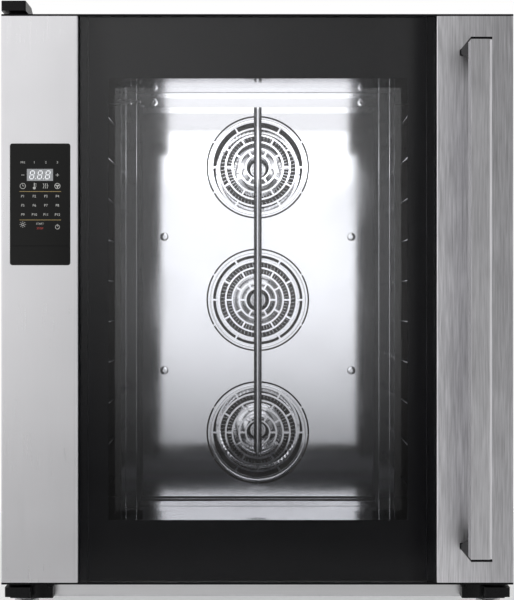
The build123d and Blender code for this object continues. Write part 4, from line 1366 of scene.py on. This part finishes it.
class OVEN_OT_fastenings(OvenOperator, bpy.types.Operator):
    """Socket screws of the top hinge, screws of the back panel and of the chimney"""
    bl_idname = "oven.fastenings"
    bl_label = "Fastenings"

    def execute(self, context):
        head = context.scene.oven_hardware.screw_head
        low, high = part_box("bracket_screws")
        screw = turned(in_mm([
            (3.3, -14), (3.3, 0), (4.8, 0), (5, 0.3), (5, 3), (4.5, 3.5)]), 32)
        cut(screw, prism(6, mm(2.6), *mm(1, 4)))
        top = high.z - mm(3.5)
        spots = [(x, y, top) for x in (low.x + mm(5), high.x - mm(5))
                 for y in (low.y + mm(5), high.y - mm(5))]
        made = repeated(screw, spots)
        finished(made, "hinge_socket_screws", "casing", "bolt_steel")
        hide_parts("bracket_screws")
        _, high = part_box("back_panel")
        screw = facing_back(domed_screw(head, mm(2.2), mm(4)))
        side = high.x - mm(9)
        spots = [(x, high.y, z) for x in (-side, side) for z in mm(*EDGE_SCREW_HEIGHTS)]
        spots += [(x, high.y, z) for x in mm(*ROW_SCREWS) for z in mm(935, 42)]
        finished(repeated(screw, spots), "back_panel_screws", "casing", "bolt_steel")
        low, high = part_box("exhaust_chimney")
        middle = (low + high) / 2
        reach = (high.x - low.x) / 2 - mm(7)
        screw = domed_screw(mm(3), mm(1.6), mm(3))
        spots = [(middle.x + reach * x, middle.y + reach * y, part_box("top_panel")[1].z + mm(1.4))
                 for x, y in ((0.7, 0.7), (-0.7, 0.7), (0.7, -0.7), (-0.7, -0.7))]
        finished(repeated(screw, spots), "chimney_screws", "casing", "bolt_steel")
        return {"FINISHED"}


def facing_back(obj, location=(0, 0, 0)):
    """Turns a piece made on the Z axis so that its top faces the back, and moves it."""
    return put(obj, location, (-90, 0, 0))


class OVEN_OT_rear_fittings(OvenOperator, bpy.types.Operator):
    """Louvre hoods of the back panel, thread of the water inlet and ribs of the gland"""
    bl_idname = "oven.rear_fittings"
    bl_label = "Rear fittings"

    def execute(self, context):
        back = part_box("back_panel")[1].y
        hood = block(mm(-56, -0.5, 2.2), mm(56, 5, 8.6), mm(1.8), 3)
        pick(hood, "FACE", lambda middle, way: way.y > 0.9)
        bpy.ops.transform.translate(value=mm(0, 0, -1.6))
        close_edit()
        rows = [mm(level + 14 * row) for level in (560, 760) for row in range(8)]
        spots = [(x, back, z) for x in mm(-220, 220) for z in rows]
        finished(repeated(hood, spots), "louvre_hoods", "casing", "casing_steel")
        inlet = ring(in_mm(thread(13.1, 14, 0, 1.8, 7) + [(13.1, 12.6), (12.6, 6)]), 40)
        finished(facing_back(inlet, mm(-250, 402, 150)), "inlet_thread", "casing", "valve_plastic")
        rib = block(mm(12.4, -0.9, -7), mm(13.9, 0.9, 3.5), mm(0.4))
        grip = facing_back(spun(rib, 12), mm(300, 409, 90))
        finished(grip, "gland_ribs", "casing", "black_moulding")
        return {"FINISHED"}


CAVITY_FLOOR = mm(103)
STRAINER_BARS = (-8, 0, 8)


class OVEN_OT_cavity_fittings(OvenOperator, bpy.types.Operator):
    """Strainer over the drain and the temperature probe in its clip at the top left"""
    bl_idname = "oven.cavity_fittings"
    bl_label = "Cavity fittings"

    def execute(self, context):
        rim = ring(in_mm([
            (17, 0.1), (17.4, 0.6), (19.6, 0.9), (20.2, 0.1), (20.2, -1), (17, -1)]), 48)
        bars = [block(mm(-16.9, y - 0.8, -0.6), mm(16.9, y + 0.8, 0.2), mm(0.3))
                for y in STRAINER_BARS]
        bars += [block(mm(x - 0.8, -16.9, -0.6), mm(x + 0.8, 16.9, 0.2), mm(0.3))
                 for x in STRAINER_BARS]
        strainer = put(joined([rim] + bars), (0, mm(20), CAVITY_FLOOR))
        finished(strainer, "drain_strainer", "casing", "bolt_steel")
        stem = turned(in_mm([
            (2.2, -30), (2.6, -29.4), (2.6, -12), (4.4, -11.4), (4.4, 9), (3.6, 10), (3.6, 12),
            (1.0, 12)]), 24)
        rib = block(mm(4.2, -0.35, -10.8), mm(4.9, 0.35, 8.4), mm(0.1))
        probe = put(joined([stem, spun(rib, 20)]), mm(-256, 143.4, 888.5), (0, -90, 0))
        finished(probe, "cavity_probe", "casing", "pipe_steel")
        return {"FINISHED"}


class OVEN_OT_stage(OvenOperator, bpy.types.Operator):
    """Camera, floor, lamps and the pale studio round the oven"""
    bl_idname = "oven.stage"
    bl_label = "Stage"

    def execute(self, context):
        stage = context.scene.oven_stage
        context.scene.view_settings.view_transform = "Standard"
        self.camera(stage)
        self.floor(stage)
        self.lamps(stage)
        self.cavity_lamp(stage)
        self.world()
        return {"FINISHED"}

    def camera(self, stage):
        """Camera level with the middle of the door."""
        start_fresh()
        bpy.ops.object.camera_add(
            location=(stage.camera_side, stage.camera_front, stage.camera_height),
            rotation=(math.radians(90), 0, 0))
        camera = bpy.context.object
        camera.name = "front_camera"
        camera.data.sensor_fit = "VERTICAL"
        camera.data.sensor_width = 36
        camera.data.sensor_height = 36
        camera.data.lens = stage.lens
        camera.data.shift_x = stage.camera_shift
        camera.data.clip_start = 0.05
        bpy.context.scene.camera = camera

    def floor(self, stage):
        """Pale floor that shows white to the camera but keeps the oven's shadow."""
        start_fresh()
        bpy.ops.mesh.primitive_circle_add(
            vertices=96, radius=stage.floor_radius, fill_type="NGON", location=(0, 0, 0))
        floor = bpy.context.object
        floor.name = "floor"
        floor.data.materials.append(self.floor_finish(stage))

    def floor_finish(self, stage):
        """Matt pale paint, lifted to white where the camera or glass sees it. It fades out towards
        its rim, and shows only faintly in mirrors and through glass.
        """
        material, tree, shader, _ = new_material("floor_paint")
        patches = use_group(tree, "Fine skin", Scale=60.0, Depth=0.0)
        tone = tuple(stage.floor_colour)
        base = tinted(tree, patches.outputs["Patches"], darker(tone, 0.985), tone)
        link(tree, base, shader.inputs["Base Color"])
        shader.inputs["Roughness"].default_value = 0.9
        shader.inputs["Specular IOR Level"].default_value = 0.1
        shader.inputs["Emission Color"].default_value = (1, 1, 1, 1)
        rays = tree.nodes.new("ShaderNodeLightPath")
        seen = math_node(tree, "MAXIMUM", rays.outputs["Is Camera Ray"],
                         rays.outputs["Is Transmission Ray"])
        link(tree, math_node(tree, "MULTIPLY", seen, 0.2), shader.inputs["Emission Strength"])
        away = tree.nodes.new("ShaderNodeVectorMath")
        away.operation = "LENGTH"
        place_node = tree.nodes.new("ShaderNodeTexCoord")
        link(tree, place_node.outputs["Object"], away.inputs[0])
        rim = stage.floor_radius
        mirrored = math_node(tree, "MAXIMUM", rays.outputs["Is Glossy Ray"],
                             rays.outputs["Is Transmission Ray"])
        edge = ramp(tree, away.outputs["Value"], rim * 0.6, rim * 0.98, 1.0, 0.0)
        link(tree, math_node(tree, "MULTIPLY", edge, mix_values(tree, mirrored, 1.0, 0.25)),
             shader.inputs["Alpha"])
        return material

    def lamps(self, stage):
        """One wide overhead softbox and one soft fill from the front left."""
        for name, power, size, location, aim in (
            ("overhead_softbox", stage.lamp_power, 3.0, (-0.9, -1.4, 3.2), (0, 0, 0.5)),
            ("front_fill", stage.lamp_power * 0.3, 2.0, (-2.4, -2.6, 1.6), (0, 0, 0.6)),
        ):
            start_fresh()
            bpy.ops.object.light_add(type="AREA", location=location)
            lamp = bpy.context.object
            lamp.name = name
            lamp.data.energy = power
            lamp.data.size = size
            lamp.visible_camera = False
            lamp.visible_glossy = name != "front_fill"
            way = Vector(aim) - Vector(location)
            lamp.rotation_euler = way.to_track_quat("-Z", "Y").to_euler()

    def cavity_lamp(self, stage):
        """Long lamp inside the mouth of the cavity, above the window, that shines on the baffle."""
        start_fresh()
        _, inner_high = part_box("door_inner_frame")
        bpy.ops.object.light_add(
            type="AREA", location=(0, inner_high.y + mm(2), (stage.lamp_low + stage.lamp_high) / 2),
            rotation=(math.radians(90), 0, 0))
        lamp = bpy.context.object
        lamp.name = "cavity_lamp"
        lamp.data.shape = "RECTANGLE"
        lamp.data.size = stage.lamp_width
        lamp.data.size_y = stage.lamp_high - stage.lamp_low
        lamp.data.energy = stage.cavity_power
        lamp.visible_camera = False
        lamp.visible_transmission = False

    def world(self):
        """Pale studio: even all round, with the daylight of the room before the oven."""
        world = bpy.data.worlds.new("studio")
        bpy.context.scene.world = world
        world.use_nodes = True
        tree = world.node_tree
        tree.nodes.clear()
        output = tree.nodes.new("ShaderNodeOutputWorld")
        background = tree.nodes.new("ShaderNodeBackground")
        link(tree, background.outputs[0], output.inputs[0])
        way = tree.nodes.new("ShaderNodeSeparateXYZ")
        coordinates = tree.nodes.new("ShaderNodeTexCoord")
        link(tree, coordinates.outputs["Generated"], way.inputs[0])
        side, depth, height = way.outputs
        rays = tree.nodes.new("ShaderNodeLightPath")
        # What light that has passed the glass meets in the room, by height and side
        room = ramp(tree, height, -0.15, 0.035, 0.33, 1.48)
        room = ramp(tree, height, -0.42, -0.24, 1.0, room)
        beside = ramp(tree, side, -0.128, -0.112, 0.72, ramp(tree, side, 0.112, 0.128, 1.0, 0.2))
        room = math_node(tree, "MULTIPLY", room, beside)
        # What the front of the glass and the strips at its left and right mirror
        pane = math_node(tree, "MULTIPLY", ramp(tree, height, -0.04, 0.2, 0.06, 1.2),
                         ramp(tree, side, -0.13, 0.10, 1.0, 0.15))
        pane = ramp(tree, height, -0.236, -0.226, 1.2, pane)
        left = ramp(tree, height, -0.14, -0.02, 0.62, 1.3)
        left = ramp(tree, height, 0.05, 0.25, left, 1.02)
        right = ramp(tree, height, -0.1, 0.2, 0.6, 0.3)
        zone = mix_values(tree, ramp(tree, side, -0.166, -0.145, 1.0, 0.0), pane, left)
        zone = mix_values(tree, ramp(tree, side, 0.145, 0.166, 0.0, 1.0), zone, right)
        zone = mix_values(tree, rays.outputs["Is Transmission Ray"], zone, room)
        front = ramp(tree, depth, -0.75, -0.4, 1.0, 0.0)
        base = ramp(tree, height, -0.6, 0.7, 0.55, 0.8)
        base = mix_values(tree, rays.outputs["Is Glossy Ray"], base, 0.85)
        base = mix_values(tree, rays.outputs["Is Transmission Ray"], base, 1.0)
        level = mix_values(tree, front, base, zone)
        level = mix_values(tree, rays.outputs["Is Camera Ray"], level, 1.0)
        background.inputs["Color"].default_value = (1, 1, 1, 1)
        link(tree, level, background.inputs["Strength"])


OPERATORS = (
    OVEN_OT_stage,
    OVEN_OT_dress_frame,
    OVEN_OT_glass_print,
    OVEN_OT_panel_signs,
    OVEN_OT_fan_wheels,
    OVEN_OT_baffle,
    OVEN_OT_baffle_bolts,
    OVEN_OT_cavity_fittings,
    OVEN_OT_door_edges,
    OVEN_OT_gasket,
    OVEN_OT_feet,
    OVEN_OT_fastenings,
    OVEN_OT_rear_fittings,
)


class OVEN_PT_tools(bpy.types.Panel):
    """Steps that dress the oven"""
    bl_idname = "OVEN_PT_tools"
    bl_label = "Convection Oven"
    bl_space_type = "VIEW_3D"
    bl_region_type = "UI"
    bl_category = "Oven"

    def draw(self, context):
        for name, kind in SETTINGS.items():
            box = self.layout.box()
            settings = getattr(context.scene, name)
            for key in kind.__annotations__:
                box.prop(settings, key)
        for operator in OPERATORS:
            self.layout.operator(operator.bl_idname)


SETTINGS = {
    "oven_stage": OvenStageSettings,
    "oven_finish": OvenFinishSettings,
    "oven_door": OvenDoorSettings,
    "oven_panel": OvenPanelSettings,
    "oven_fan": OvenFanSettings,
    "oven_hardware": OvenHardwareSettings,
}
CLASSES = (*SETTINGS.values(), *OPERATORS, OVEN_PT_tools)


def register():
    for kind in CLASSES:
        bpy.utils.register_class(kind)
    for name, kind in SETTINGS.items():
        setattr(bpy.types.Scene, name, PointerProperty(type=kind))


def unregister():
    for name in SETTINGS:
        delattr(bpy.types.Scene, name)
    for kind in reversed(CLASSES):
        bpy.utils.unregister_class(kind)


def main():
    """Builds the looks."""
    register()
    for operator in OPERATORS:
        group, name = operator.bl_idname.split(".")
        getattr(getattr(bpy.ops, group), name)()


if __name__ == "__main__":
    main()
